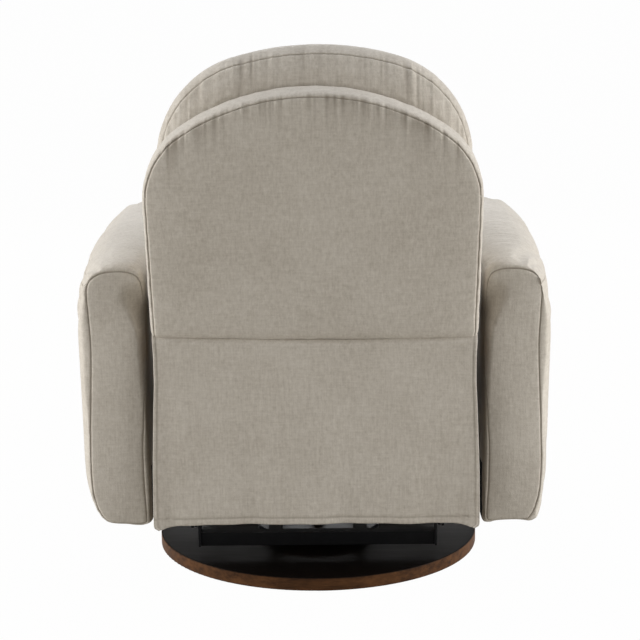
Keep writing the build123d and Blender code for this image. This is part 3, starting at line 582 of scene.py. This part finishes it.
def freeze(piece):
    """Applies a piece's modifiers, so that what they shaped is its mesh."""
    graph = bpy.context.evaluated_depsgraph_get()
    shaped = bpy.data.meshes.new_from_object(piece.evaluated_get(graph))
    piece.modifiers.clear()
    worn = piece.data
    piece.data = shaped
    bpy.data.meshes.remove(worn)
    shaped.name = piece.name
    shaped.shade_smooth()
    return piece


def net(piece, size):
    """Remeshes a closed piece into an even net of faces about that size."""
    remesh = piece.modifiers.new("Net", "REMESH")
    remesh.mode = "VOXEL"
    remesh.voxel_size = size
    remesh.use_smooth_shade = True
    return freeze(piece)


def points_of(piece):
    places = np.empty(len(piece.data.vertices) * 3)
    piece.data.vertices.foreach_get("co", places)
    return places.reshape(-1, 3)


def normals_of(piece):
    ways = np.empty(len(piece.data.vertices) * 3, np.float32)
    piece.data.vertex_normals.foreach_get("vector", ways)
    return ways.reshape(-1, 3).astype(float)


def move_to(piece, places):
    piece.data.vertices.foreach_set("co", places.astype(np.float32).ravel())
    piece.data.update()


# %% Seams
coarse_step, coarse_slack = 30, 0.016


class Seam:
    """A seam laid on a piece: it tells how far each of the piece's points is from it, and how far along."""

    def __init__(self, piece, path):
        surface = BVHTree.FromObject(piece, bpy.context.evaluated_depsgraph_get())
        laid = np.array([surface.find_nearest(Vector(point))[0] for point in path])
        padded = np.vstack([laid[:1]] * 4 + [laid] + [laid[-1:]] * 4)
        self.path = sum(padded[shift : shift + len(laid)] for shift in range(9)) / 9
        self.tree = KDTree(len(path))
        for number, point in enumerate(self.path):
            self.tree.insert(point, number)
        self.tree.balance()

    def near(self, places, reach=0.1):
        """Distances and runs, exact within the reach and rough beyond it."""
        coarse = self.path[::coarse_step]
        rough = np.sqrt(((places[:, None, :] - coarse[None, :, :]) ** 2).sum(axis=2))
        pick = rough.argmin(axis=1)
        distance = rough[np.arange(len(places)), pick]
        run = pick * (coarse_step * path_step)
        close = np.flatnonzero(distance < reach + coarse_slack)
        found = [self.tree.find(place) for place in places[close].tolist()]
        distance[close] = [item[2] for item in found]
        run[close] = [item[1] * path_step for item in found]
        return distance, run


def seams_on(piece, *paths):
    return [Seam(piece, path) for path in paths]


def on_panel(panel, outline, depth, closed=True):
    """A seam's path at even steps, from its outline on a panel."""
    flat = even(outline, closed=closed)
    return [panel @ Vector((point[0], point[1], depth)) for point in flat]


def refine(piece, seams, reach):
    """Divides the faces near the seams, so that a crease has enough points."""
    near = np.zeros(len(piece.data.vertices), bool)
    places = points_of(piece)
    for seam in seams:
        near |= seam.near(places, reach)[0] < reach
    mesh = bmesh.new()
    mesh.from_mesh(piece.data)
    mesh.verts.ensure_lookup_table()
    edges = [edge for edge in mesh.edges if near[edge.verts[0].index] and near[edge.verts[1].index]]
    bmesh.ops.subdivide_edges(mesh, edges=edges, cuts=1, use_grid_fill=True, smooth=0.0)
    mesh.to_mesh(piece.data)
    mesh.free()
    piece.data.shade_smooth()


def bell(distance, width):
    return np.exp(-((distance / width) ** 2))


def ramped(values, start, end):
    """0 up to the start, 1 past the end and even in between; the end may be the lower number."""
    return np.clip((values - start) / (end - start), 0, 1)


hash_factors = np.array((374761393, 668265263, 1442695041))
hash_mixer = 1274126177
hash_half = 32767.5


def wander(places, scale, seed=0.0):
    """Smooth noise at each place, from -1 to 1; scale is in waves per metre, one number or three."""
    where = np.asarray(places) * np.array(scale) + seed
    cell = np.floor(where)
    share = where - cell
    share = share * share * (3 - 2 * share)
    total = np.zeros(len(where))
    for corner in product((0, 1), repeat=3):
        number = (cell + corner).astype(np.int64) @ hash_factors
        number = (number ^ (number >> 13)) * hash_mixer
        height = ((number ^ (number >> 16)) & 0xFFFF) / hash_half - 1
        total += height * np.prod(np.where(corner, share, 1 - share), axis=1)
    return total


def shade(piece, share):
    """Writes the painted shade at each point, 0 to 1, that makes the cloth darker: the material reads it as
    "crease".
    """
    kept = piece.data.attributes
    attribute = kept.get("crease") or kept.new("crease", "FLOAT", "POINT")
    attribute.data.foreach_set("value", share.astype(np.float32))


def shade_of(piece):
    share = np.zeros(len(piece.data.vertices), np.float32)
    attribute = piece.data.attributes.get("crease")
    if attribute:
        attribute.data.foreach_get("value", share)
    return share


crease_depth, crease_width, crease_spread = 0.0022, 0.0017, 3.5
seam_shade_width, seam_shade_tone = 0.0012, 0.68


def crease(piece, seams):
    """Pulls each seam in to a crease and paints a thin dark line of shade along it, keeping any shade already
    written.
    """
    for reach in (0.009, 0.004):
        refine(piece, seams, reach)
    places, ways = points_of(piece), normals_of(piece)
    mark, pulled = np.zeros(len(places)), np.zeros(len(places))
    for seam in seams:
        distance = seam.near(places, 0.03)[0]
        # painted shade: a thin dark line along each seam's crease
        mark = np.maximum(mark, bell(distance, seam_shade_width))
        pull = 0.8 * bell(distance, crease_width) + 0.2 * bell(distance, crease_width * crease_spread)
        pulled = np.maximum(pulled, crease_depth * pull)
    move_to(piece, places - ways * pulled[:, None])
    shade(piece, np.maximum(mark * seam_shade_tone, shade_of(piece)))


# %% Stuffing
pressure, frames = 4.0, 20
sewn_reach = 0.006


def puff(piece, seams, cap):
    """Swells a cover between its sewn seams; no point moves further than the cap."""
    rest = points_of(piece)
    nearest = np.full(len(rest), 1.0)
    for seam in seams:
        nearest = np.minimum(nearest, seam.near(rest)[0])
    limit = np.broadcast_to(cap, len(rest))
    group = piece.vertex_groups.new(name="sewn")
    group.add([int(number) for number in np.flatnonzero(nearest < sewn_reach)], 1.0, "REPLACE")
    cloth = piece.modifiers.new("Cloth", "CLOTH")
    cloth.settings.quality = 5
    cloth.settings.use_pressure = True
    cloth.settings.uniform_pressure_force = pressure
    cloth.settings.effector_weights.gravity = 0
    cloth.settings.vertex_group_mass = "sewn"
    for number in range(1, frames + 1):
        bpy.context.scene.frame_set(number)
    graph = bpy.context.evaluated_depsgraph_get()
    swollen = piece.evaluated_get(graph).data
    moved = np.empty(len(rest) * 3)
    swollen.vertices.foreach_get("co", moved)
    shift = moved.reshape(-1, 3) - rest
    piece.modifiers.clear()
    piece.vertex_groups.clear()
    bpy.context.scene.frame_set(1)
    length = np.maximum(np.linalg.norm(shift, axis=1), 1e-9)
    share = limit * np.tanh(length / limit) / length
    move_to(piece, rest + shift * share[:, None])
    print(piece.name, "swelled by up to", round(float((length * share).max()), 4))


def subdivide(piece, levels=1):
    smoother = piece.modifiers.new("Smooth", "SUBSURF")
    smoother.levels = levels
    smoother.render_levels = levels
    return freeze(piece)


def dress(piece, body, nodes):
    """Attaches a cover to the body it rides on and hides the imported parts that it stands for."""
    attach(piece, body)
    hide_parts(*nodes)
    print(piece.name, "has", len(piece.data.polygons), "faces")


# %% [markdown]
# ## The outer back
#
# Behind the cushion stands a slab: a frame with straps, padded and covered. From the photograph's side it is
# the largest surface of the chair. Its rear panel is one flat arch of cloth, sewn to a narrow band that goes
# round the edge, with fine upright puckers below the top seam where the panel was eased in. It could be cut
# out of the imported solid, but that has the frame's pockets in it, so the arch is drawn again.

# %% Outer back: block, net and stuffing
back_tilt = radians(10)
back_up = (0, sin(back_tilt), cos(back_tilt))
back_panel = panel_frame((0, 0.345, 0.488), (1, 0, 0), back_up)
shell_depth = 0.065
shell_sides = (0.2925, 0.2980)
shell_arch = (0.0, 0.257, 0.195, 0.150)
shell_half = 0.29
bottom_bow, bottom_tilt, bottom_drop = 0.0075, 0.008, 0.006


def bow(x):
    """How far the seam between the outer back and the skirt hangs below or above its middle height."""
    return bottom_bow * (x / shell_half) ** 2 - bottom_bow / 3 + bottom_tilt * x - bottom_drop


outline = arch(*shell_sides, *shell_arch, inset=0.0005)
mesh = block(outline, back_panel, 0.0015, shell_depth - 0.0015, 0.009, 0.008)
outer_back = new_piece("outer_back", mesh, cream_cloth)
net(outer_back, 0.0065)
rear_path = on_panel(back_panel, arch(*shell_sides, *shell_arch, inset=0.0055), 0.001, closed=False)
front_path = on_panel(back_panel, arch(*shell_sides, *shell_arch, inset=0.007), shell_depth, closed=False)
puff(outer_back, seams_on(outer_back, rear_path, front_path), 0.005)
subdivide(outer_back)

# %% Outer back: puckers and seams
pucker_top, pucker_heights = 0.80, (0.74, 0.84)
pucker_depth, pucker_reach, pucker_fade = 0.0013, 0.055, 0.024
bow_heights = (0.53, 0.49)

refine(outer_back, seams_on(outer_back, [point for point in rear_path if point.z > pucker_top]), pucker_reach)
places, ways = points_of(outer_back), normals_of(outer_back)
distance = Seam(outer_back, rear_path).near(places)[0]
rearward = np.clip(ways[:, 1], 0, 1)
pucker = wander(places, (150, 0, 5)) + 0.6 * wander(places, (290, 0, 9), 7.3)
fade = np.exp(-distance / pucker_fade) * rearward * ramped(places[:, 2], *pucker_heights)
# painted shade: the furrows of the puckers below the top seam are darkened in colour
shade(outer_back, np.clip(0.15 - 0.62 * pucker, 0, 0.7) * fade)
slack = 0.0014 * wander(places, (9, 9, 5), 3.1) * rearward
band = 0.0006 * wander(places, (60, 25, 60), 5.5) * (1 - rearward)
places += ways * (pucker_depth * pucker * fade + slack + band)[:, None]
places[:, 2] += bow(places[:, 0]) * ramped(places[:, 2], *bow_heights)
move_to(outer_back, places)
crease(outer_back, seams_on(outer_back, rear_path, front_path))
dress(outer_back, "back", ["back_shell"])

# %% [markdown]
# ## The back cushion
#
# The cushion is a deep, soft arch, higher than the slab behind it. It is boxed: a front and a rear panel
# sewn to a band. The rear panel is gathered, so upright folds run down from its seam, and short wrinkles
# cross the band. Its front edge is rounded right over, as a pillow's is, but for its foot, which reaches
# down behind the seat and fills the gap there. It starts smaller than it ends, the solver blows it up most
# at the front, and its rear stays flat on the slab.

# %% Back cushion: block, net and stuffing
cushion_sides = (0.2795, 0.2820)
cushion_arch = (-0.046, 0.3030, 0.2060, 0.1930)
cushion_rear, cushion_front = shell_depth + 0.001, shell_depth + 0.122
cushion_round, foot_share = 0.075, 0.3

outline = arch(*cushion_sides, *cushion_arch, inset=0.0015)
mesh = block(outline, back_panel, cushion_rear, cushion_front, 0.045, cushion_round, 9)
flat = back_panel.inverted()
for vert in mesh.verts:
    place = flat @ vert.co
    rise, inward = place.y - cushion_arch[0], cushion_front - place.z
    if rise < cushion_round and inward < cushion_round:
        place.y = cushion_arch[0] + rise * foot_share
        place.z = cushion_front - inward * foot_share
        vert.co = back_panel @ place
back_cushion = new_piece("back_cushion_cover", mesh, cream_cloth)
net(back_cushion, 0.0068)
rear_path = on_panel(back_panel, arch(*cushion_sides, *cushion_arch, inset=0.0075), cushion_rear + 0.0195)
front_path = on_panel(back_panel, arch(*cushion_sides, *cushion_arch, inset=0.024), cushion_front - 0.026)
depths = along_depth(back_cushion, back_panel)
cap = 0.002 + 0.022 * ramped(depths, cushion_rear, cushion_front)
puff(back_cushion, seams_on(back_cushion, rear_path, front_path), cap)
subdivide(back_cushion)

# %% Back cushion: gathers, wrinkles and seams
cushion_slip, cushion_lean, lean_middle = -0.003, -0.008, 0.05
lean_heights = (0.7, 0.9)
gather_top, gather_reach, gather_fade, wrinkle_fade = 0.86, 0.06, 0.050, 0.035
fold_depth, wrinkle_depth, fold_shade_tone = 0.0014, -0.0011, 0.34
deepest_x, deepest_width = 0.105, 0.03


def lean(places):
    """The cushion sits a little to one side of the slab and a little higher there."""
    places[:, 2] += cushion_lean * (places[:, 0] + lean_middle) * ramped(places[:, 2], *lean_heights)
    places[:, 0] += cushion_slip
    return places


def along_only(run):
    """Places on a line, so that noise changes only along a seam."""
    return np.stack([run, run * 0, run * 0], axis=1)


move_to(back_cushion, lean(points_of(back_cushion)))
rear_path, front_path = (lean(np.array(list(map(tuple, path)))) for path in (rear_path, front_path))
top_path = [point for point in map(Vector, rear_path) if point.z > gather_top]
refine(back_cushion, seams_on(back_cushion, top_path), gather_reach)
places, ways = points_of(back_cushion), normals_of(back_cushion)
distance, run = Seam(back_cushion, rear_path).near(places)
rearward = np.clip(ways[:, 1] * 1.3, 0, 1)
gather = wander(places, (105, 0, 5), 2.2) + 0.5 * wander(places, (220, 0, 9), 9.1)
strong = 1 + 0.5 * bell(places[:, 0] - deepest_x, deepest_width)
behind = strong * np.exp(-distance / gather_fade) * rearward
along = along_only(run)
wrinkles = bell(wander(along, (75, 1, 1), 4.4), 0.12) - 0.5 * wander(along, (32, 1, 1), 8.8)
band = (1 - rearward) * np.exp(-distance / wrinkle_fade)
# painted shade: the valleys of the gathers and the wrinkles across the band are darkened in colour
fold_shade = np.clip(-fold_shade_tone * gather, 0, 0.34) * behind
shade(back_cushion, fold_shade + np.clip(fold_shade_tone * wrinkles, 0, 0.36) * band)
folds, crossing = fold_depth * gather * behind, wrinkle_depth * wrinkles * band
slack = 0.002 * wander(places, (7, 7, 7), 1.7) * np.clip(-ways[:, 1], 0, 1)
move_to(back_cushion, places + ways * (folds + crossing + slack)[:, None])
crease(back_cushion, seams_on(back_cushion, rear_path, front_path))
keep_before(back_cushion, back_panel, shell_depth + 0.0004)
dress(back_cushion, "back", ["back_cushion"])

# %% [markdown]
# ## The arms
#
# Each arm is a padded box: a rear and a front panel, and a band that goes round them with a join along its
# outer shoulder. The rear panel's seam lies well in from the silhouette, because the band rolls over the
# edge. Near the back the reclining slab presses the panel in, which leaves a soft hollow; the hollow and the
# arm's inner side beside the back are painted darker, as painted shade. Low on the inner side, where only
# the mechanism is beside it, a thin black lining, such as recliners have on hidden faces, takes the cloth's
# place and paints the deep shade of the gap there. One function makes a left arm; the right one is turned
# over by a mirror and has its own foot, fullness and wrinkles.

# %% Arm outlines, rear seam and shoulder seam
arm_rear, arm_front = 0.330, -0.440
arm_panel = panel_frame((0, arm_rear, 0), (1, 0, 0), (0, 0, 1))
arm_depth = arm_rear - arm_front
left_foot = [
    (0.304, 0.139),
    (0.345, 0.136),
    (0.379, 0.140),
    (0.398, 0.158),
    (0.4100, 0.190),
    (0.4155, 0.225),
]
right_foot = [
    (0.304, 0.136),
    (0.332, 0.138),
    (0.366, 0.139),
    (0.3950, 0.1350),
    (0.4050, 0.146),
    (0.4105, 0.176),
    (0.4160, 0.220),
]
arm_section = [
    (0.4175, 0.300),
    (0.4190, 0.400),
    (0.4215, 0.500),
    (0.4220, 0.565),
    (0.4140, 0.595),
    (0.3960, 0.613),
    (0.3700, 0.6190),
    (0.3390, 0.6205),
    (0.3135, 0.614),
    (0.3032, 0.590),
    (0.3020, 0.500),
    (0.3025, 0.300),
    (0.3010, 0.170),
]
rear_seam = [
    (0.3100, 0.150),
    (0.3150, 0.140),
    (0.3450, 0.1360),
    (0.3720, 0.1380),
    (0.3905, 0.151),
    (0.4035, 0.187),
    (0.4085, 0.238),
    (0.4075, 0.310),
    (0.4045, 0.380),
    (0.4015, 0.470),
    (0.4040, 0.530),
    (0.4060, 0.577),
    (0.3985, 0.596),
    (0.3800, 0.607),
    (0.3530, 0.6105),
    (0.3270, 0.608),
    (0.3110, 0.597),
    (0.3050, 0.574),
    (0.3035, 0.500),
    (0.3050, 0.400),
    (0.3090, 0.340),
    (0.3130, 0.290),
    (0.3130, 0.230),
    (0.3110, 0.180),
]
front_seam = round_box((0.316, 0.150), (0.409, 0.603), (0.03, 0.034, 0.026, 0.012))
shoulder_seam = [
    (0.4010, 0.3290, 0.5960),
    (0.4110, 0.3270, 0.5900),
    (0.4200, 0.3160, 0.5830),
    (0.4260, 0.2900, 0.5790),
    (0.4330, 0.0000, 0.5850),
    (0.4260, -0.3900, 0.5790),
    (0.4200, -0.4250, 0.5830),
    (0.4060, -0.4380, 0.5920),
]

# %% The hollow where the back presses the arm
ridge_heights = (0.34, 0.37, 0.46, 0.50, 0.525, 0.555, 0.60)
ridge_places = (0.304, 0.306, 0.310, 0.313, 0.322, 0.341, 0.354)
ridge_round, hollow_inner = 0.006, 0.298
hollow_depth, hollow_rear = 0.046, (0.20, 0.30)
hollow_high, hollow_low = (0.592, 0.522), (0.34, 0.43)


def pressing(places):
    """The share of the full hollow at each place: deep at the inner top, gone by the seat."""
    ridge = np.interp(places[:, 2], ridge_heights, ridge_places) + ridge_round
    share = ramped(np.abs(places[:, 0]), ridge, hollow_inner)
    share = share**2 * (3 - 2 * share) * ramped(places[:, 1], *hollow_rear)
    return share * ramped(places[:, 2], *hollow_high) * ramped(places[:, 2], *hollow_low)


def pressed(path):
    """The rear seam's path once the hollow has carried it inwards."""
    places = np.array(list(map(tuple, path)))
    places[:, 1] -= hollow_depth * pressing(places)
    return [Vector(place) for place in places]


# %% One arm
arm_inner = 0.3000
middle_rise = 0.026
lining_top, lining_front, lining_rear = 0.250, -0.39, arm_rear - 0.016
rear_shade, high_shade, hollow_shade_tone, inner_shade_tone = (0.05, 0.15), (0.60, 0.54), 0.75, 0.85
full_heights, least_full = (0.30, 0.55), 0.55
narrow_heights, narrow_rear = (0.52, 0.58), (0.12, 0.28)


def arm_cover(name, side, seed, foot, swell, narrow):
    """An arm's cover: fuller at its middle than at its two ends, along its top and its outside."""
    section = smooth_path(foot + arm_section, share=6)
    mesh = block(section, arm_panel, 0.001, arm_depth - 0.004, 0.016, 0.018)
    piece = new_piece(name, mesh, cream_cloth)
    net(piece, 0.008)
    rear_path = on_panel(arm_panel, smooth_path(rear_seam), 0.0)
    front_path = on_panel(arm_panel, front_seam, arm_depth)
    shoulder_path = list(map(Vector, even(smooth_path(shoulder_seam, closed=False), closed=False)))
    ways = normals_of(piece)
    upward, outward = np.clip(ways[:, 2], 0, 1), np.clip(ways[:, 0], 0, 1)
    cap = 0.0015 + 0.010 * upward + 0.005 * outward + 0.007 * np.abs(ways[:, 1])
    puff(piece, seams_on(piece, rear_path, front_path), cap)
    subdivide(piece)
    # painted shade: faces low on the inner side take the black lining, which paints the shade of the gap
    # beside the mechanism
    piece.data.materials.append(gap_shade_lining)
    for face in piece.data.polygons:
        low = face.center.z < lining_top and lining_front < face.center.y < lining_rear
        if low and face.normal.x < -0.7:
            face.material_index = 1
    places, ways = points_of(piece), normals_of(piece)
    # painted shade: the arm's inner side near the back and the hollow that the back presses in are darkened
    # in colour
    inner = ramped(-ways[:, 0], 0.4, 0.9) * ramped(places[:, 1], *rear_shade)
    inner = inner_shade_tone * inner * ramped(places[:, 2], *high_shade)
    shade(piece, np.maximum(inner, hollow_shade_tone * pressing(places)))
    upward, outward = np.clip(ways[:, 2], 0, 1), np.clip(ways[:, 0], 0, 1)
    middle = np.sin(pi * ramped(places[:, 1], arm_rear, arm_front)) ** 0.7
    places[:, 2] += middle_rise * middle * upward
    fuller = least_full + (1 - least_full) * ramped(places[:, 2], *full_heights)
    places[:, 0] += swell * middle * outward * fuller
    shoulder = ramped(places[:, 2], *narrow_heights) * ramped(places[:, 1], *narrow_rear)
    places[:, 0] -= narrow * shoulder * outward
    places[:, 1] -= hollow_depth * pressing(places)
    move_to(piece, places)
    ways = normals_of(piece)
    slack = 0.0014 * wander(places, (14, 6, 9), seed)
    slubs = 0.0006 * wander(places, (20, 130, 60), seed + 3) * np.clip(ways[:, 2], 0, 1)
    places += ways * (slack + slubs)[:, None]
    places[:, 0] = np.maximum(places[:, 0], arm_inner)
    move_to(piece, places)
    crease(piece, seams_on(piece, pressed(rear_path), front_path, shoulder_path))
    if side < 0:
        mesh = bmesh.new()
        mesh.from_mesh(piece.data)
        bmesh.ops.scale(mesh, verts=mesh.verts, vec=(-1, 1, 1))
        bmesh.ops.reverse_faces(mesh, faces=mesh.faces)
        mesh.to_mesh(piece.data)
        mesh.free()
    return piece


left_arm = arm_cover("left_arm_cover", 1, 0.0, left_foot, 0.0085, 0.003)
dress(left_arm, "chassis", ["left_arm_pad"])
right_arm = arm_cover("right_arm_cover", -1, 11.0, right_foot, 0.0045, 0.009)
dress(right_arm, "chassis", ["right_arm_pad"])

# %% [markdown]
# ## The skirt
#
# Below the slab a flap of the same cloth hangs to the plinth and hides the mechanism. It is a single
# sheet with a turned hem on three sides. It could be simulated, but its few folds are known from the
# photograph: it is a touch narrower a hand below its top, its corners swing out and its hem waves. So a
# fine grid is laid flat, set in place and bent by a few waves, and a Solidify modifier gives it cloth's
# thickness.

# %% Skirt
skirt_top, skirt_low, skirt_rear = 0.4960, 0.1440, 0.3445
skirt_width, skirt_height = 0.594, skirt_top - skirt_low
skirt_falls = (0, 0.12, 0.25, 0.4, 0.7, 1.0)
skirt_halves = (0.2905, 0.2885, 0.2885, 0.291, 0.2945, 0.2955)
skirt_rows, skirt_columns = 115, 196
skirt_tuck, tuck_depth, corner_round = 0.012, 0.010, 0.009
corner_out, corner_drop = (0.88, 1.0), (0.83, 0.97)
hem_height, hem_side, stitch_width = 0.012, 0.006, 0.0016

mesh = bmesh.new()
bmesh.ops.create_grid(mesh, x_segments=skirt_columns, y_segments=skirt_rows, size=0.5)
bmesh.ops.rotate(mesh, verts=mesh.verts, matrix=Matrix.Rotation(pi / 2, 3, "X"))
bmesh.ops.scale(mesh, verts=mesh.verts, vec=(skirt_width, 1, skirt_height))
bmesh.ops.translate(mesh, verts=mesh.verts, vec=(0, skirt_rear, (skirt_top + skirt_low) / 2))
skirt = new_piece("skirt_flap", mesh, cream_cloth)

places = points_of(skirt)
across = places[:, 0] / (skirt_width / 2)
sideways = np.abs(across)
down = (skirt_top - places[:, 2]) / skirt_height
half = np.interp(down, skirt_falls, skirt_halves)
short = np.maximum(corner_round - (1 - down) * skirt_height, 0)
cut = corner_round - np.sqrt(np.maximum(corner_round**2 - short**2, 0))
places[:, 0] = across * (half - cut * sideways**8)
waves = 0.0030 * np.sin(across * 9.5 + 0.6) + 0.0018 * np.sin(across * 23 + 2.0)
corner = 0.010 * ramped(sideways, *corner_out) ** 2
places[:, 1] += (waves + corner) * down**1.5
places[:, 1] -= tuck_depth * ramped(down * skirt_height, skirt_tuck, 0) ** 1.5
places[:, 2] += bow(places[:, 0]) * ramped(down, 0.25, 0)
radial = np.abs(wander(places, (120, 0, 14), 8.0)) * 0.0018
places[:, 1] += radial * (sideways > 0.86) * np.exp(-down * 7)
places[:, 2] -= 0.008 * ramped(sideways, *corner_drop) ** 1.5 * down**6
places[:, 1] += 0.0007 * wander(places, (30, 0, 9), 6.0)
hem = bell(places[:, 2] - (skirt_low + hem_height), stitch_width) * (down > 0.9)
side_hem = bell((1 - sideways) * skirt_width / 2 - hem_side, stitch_width)
stitched = np.maximum(hem, side_hem)
places[:, 1] -= 0.0012 * stitched
move_to(skirt, places)
# painted shade: the stitched hem lines, pressed in as grooves, are darkened in colour
shade(skirt, stitched * 0.35)
thick = skirt.modifiers.new("Cloth_thickness", "SOLIDIFY")
thick.thickness = 0.0018
thick.offset = 0.0
freeze(skirt)
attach(skirt, "skirt")
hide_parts("back_skirt")
print("skirt has", len(skirt.data.polygons), "faces")

# %% [markdown]
# ## Seat, front border and footrest
#
# The seat cushion is a thick boxed square that the sitter sinks into, so it is crowned. Below it a padded
# border covers the front rail. The footrest is a board with a thin pad. None of them shows in the photograph,
# so the seat cushion and the footrest pad follow the same sewing: seams at the edges, panels swelling
# between. The border is a rounded block with a little slack in its cloth.


# %% Boxed cushions
def boxed(name, outline, seam_outline, panel, depth, rims, cap, size, seed, seam_in=0.004):
    """A stuffed box: its far face swells, its near face stays flat on what carries it."""
    mesh = block(outline, panel, rims[0], depth, rims[1], rims[2], 6)
    piece = new_piece(name, mesh, cream_cloth)
    net(piece, size)
    paths = [
        on_panel(panel, seam_outline, rims[0] + seam_in),
        on_panel(panel, seam_outline, depth - rims[2] * 0.45),
    ]
    rising = ramped(along_depth(piece, panel), 0, depth)
    puff(piece, seams_on(piece, *paths), 0.002 + cap * rising)
    subdivide(piece)
    places, ways = points_of(piece), normals_of(piece)
    facing = np.clip(ways @ np.array(panel.col[2][:3]), 0, 1)
    slack = 0.0016 * wander(places, (8, 8, 8), seed) * facing
    distance, run = Seam(piece, paths[1]).near(places)
    pull = 0.0009 * wander(along_only(run), (55, 1, 1), seed) * np.exp(-distance / 0.03)
    move_to(piece, places + ways * (slack + pull)[:, None])
    crease(piece, seams_on(piece, *paths))
    return piece


# %% Seat cushion
seat_panel = panel_frame((0, -0.1415, 0.3785), (1, 0, 0), (0, 1, 0))
seat_half, seat_corner = (0.2895, 0.2880), 0.04
outline, rim = (centred_box(seat_half, inset, seat_corner) for inset in (0.006, 0.004))
rims = (0.0, 0.009, 0.028)
seat = boxed("seat_cushion_cover", outline, rim, seat_panel, 0.110, rims, 0.016, 0.008, 21.0, 0.012)
dress(seat, "chassis", ["seat_cushion"])

# %% Footrest pad
foot_low, foot_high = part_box("footrest_pad")
foot_panel = panel_frame((0, foot_high.y, ((foot_low + foot_high) / 2).z), (1, 0, 0), (0, 0, 1))
outline = centred_box((foot_high.x, (foot_high.z - foot_low.z) / 2), 0.004, 0.022)
rims = (0.0008, 0.005, 0.014)
foot_pad = boxed("footrest_pad_cover", outline, outline, foot_panel, 0.040, rims, 0.008, 0.006, 31.0)
dress(foot_pad, "footrest", ["footrest_pad"])

# %% Front border
border_low, border_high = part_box("front_border")
border_panel = panel_frame((0, border_high.y, 0), (1, 0, 0), (0, 0, 1))
border_side, border_under, border_over = 0.0005, 0.0055, 0.0075
lower_corner = (border_low.x - border_side, border_low.z - border_under)
upper_corner = (border_high.x + border_side, border_high.z + border_over)
outline = round_box(lower_corner, upper_corner, [0.005] * 4)
mesh = block(outline, border_panel, 0.0003, 0.0105, 0.0, 0.0055, 4)
border = new_piece("front_border_cover", mesh, cream_cloth)
net(border, 0.004)
subdivide(border)
places, ways = points_of(border), normals_of(border)
move_to(border, places + ways * (0.0005 * wander(places, (40, 40, 90), 4.0))[:, None])
dress(border, "chassis", ["front_border"])

# %% [markdown]
# ## Felt, deck cloth and straps
#
# Three soft layers hardly show: the felt under the plinth, the pad on the seat springs and the elastic
# straps in the back. They are thin, with rounded edges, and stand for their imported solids.


# %% Thin soft layers
flat_angle, sharp_angle = radians(4), radians(50)


def slab(name, node, edge, material, body_name):
    """A thin soft layer: the node's own shape with its sharp edges rounded over."""
    mesh = bmesh.new()
    mesh.from_mesh(frame["nodes"][node].data)
    bmesh.ops.remove_doubles(mesh, verts=mesh.verts, dist=1e-5)
    bmesh.ops.dissolve_limit(mesh, angle_limit=flat_angle, verts=mesh.verts, edges=mesh.edges)
    sharp = [item for item in mesh.edges if item.is_manifold and item.calc_face_angle(0) > sharp_angle]
    round_over(mesh, sharp, edge, 3)
    bmesh.ops.recalc_face_normals(mesh, faces=mesh.faces)
    piece = new_piece(name, mesh, material)
    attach(piece, body_name)
    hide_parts(node)
    return piece


slab("plinth_felt", "base_felt", 0.0008, felt, "base")
slab("deck_pad_cloth", "deck_pad", 0.0015, pale_felt, "chassis")
slab("woven_straps", "back_straps", 0.0005, webbing, "back")
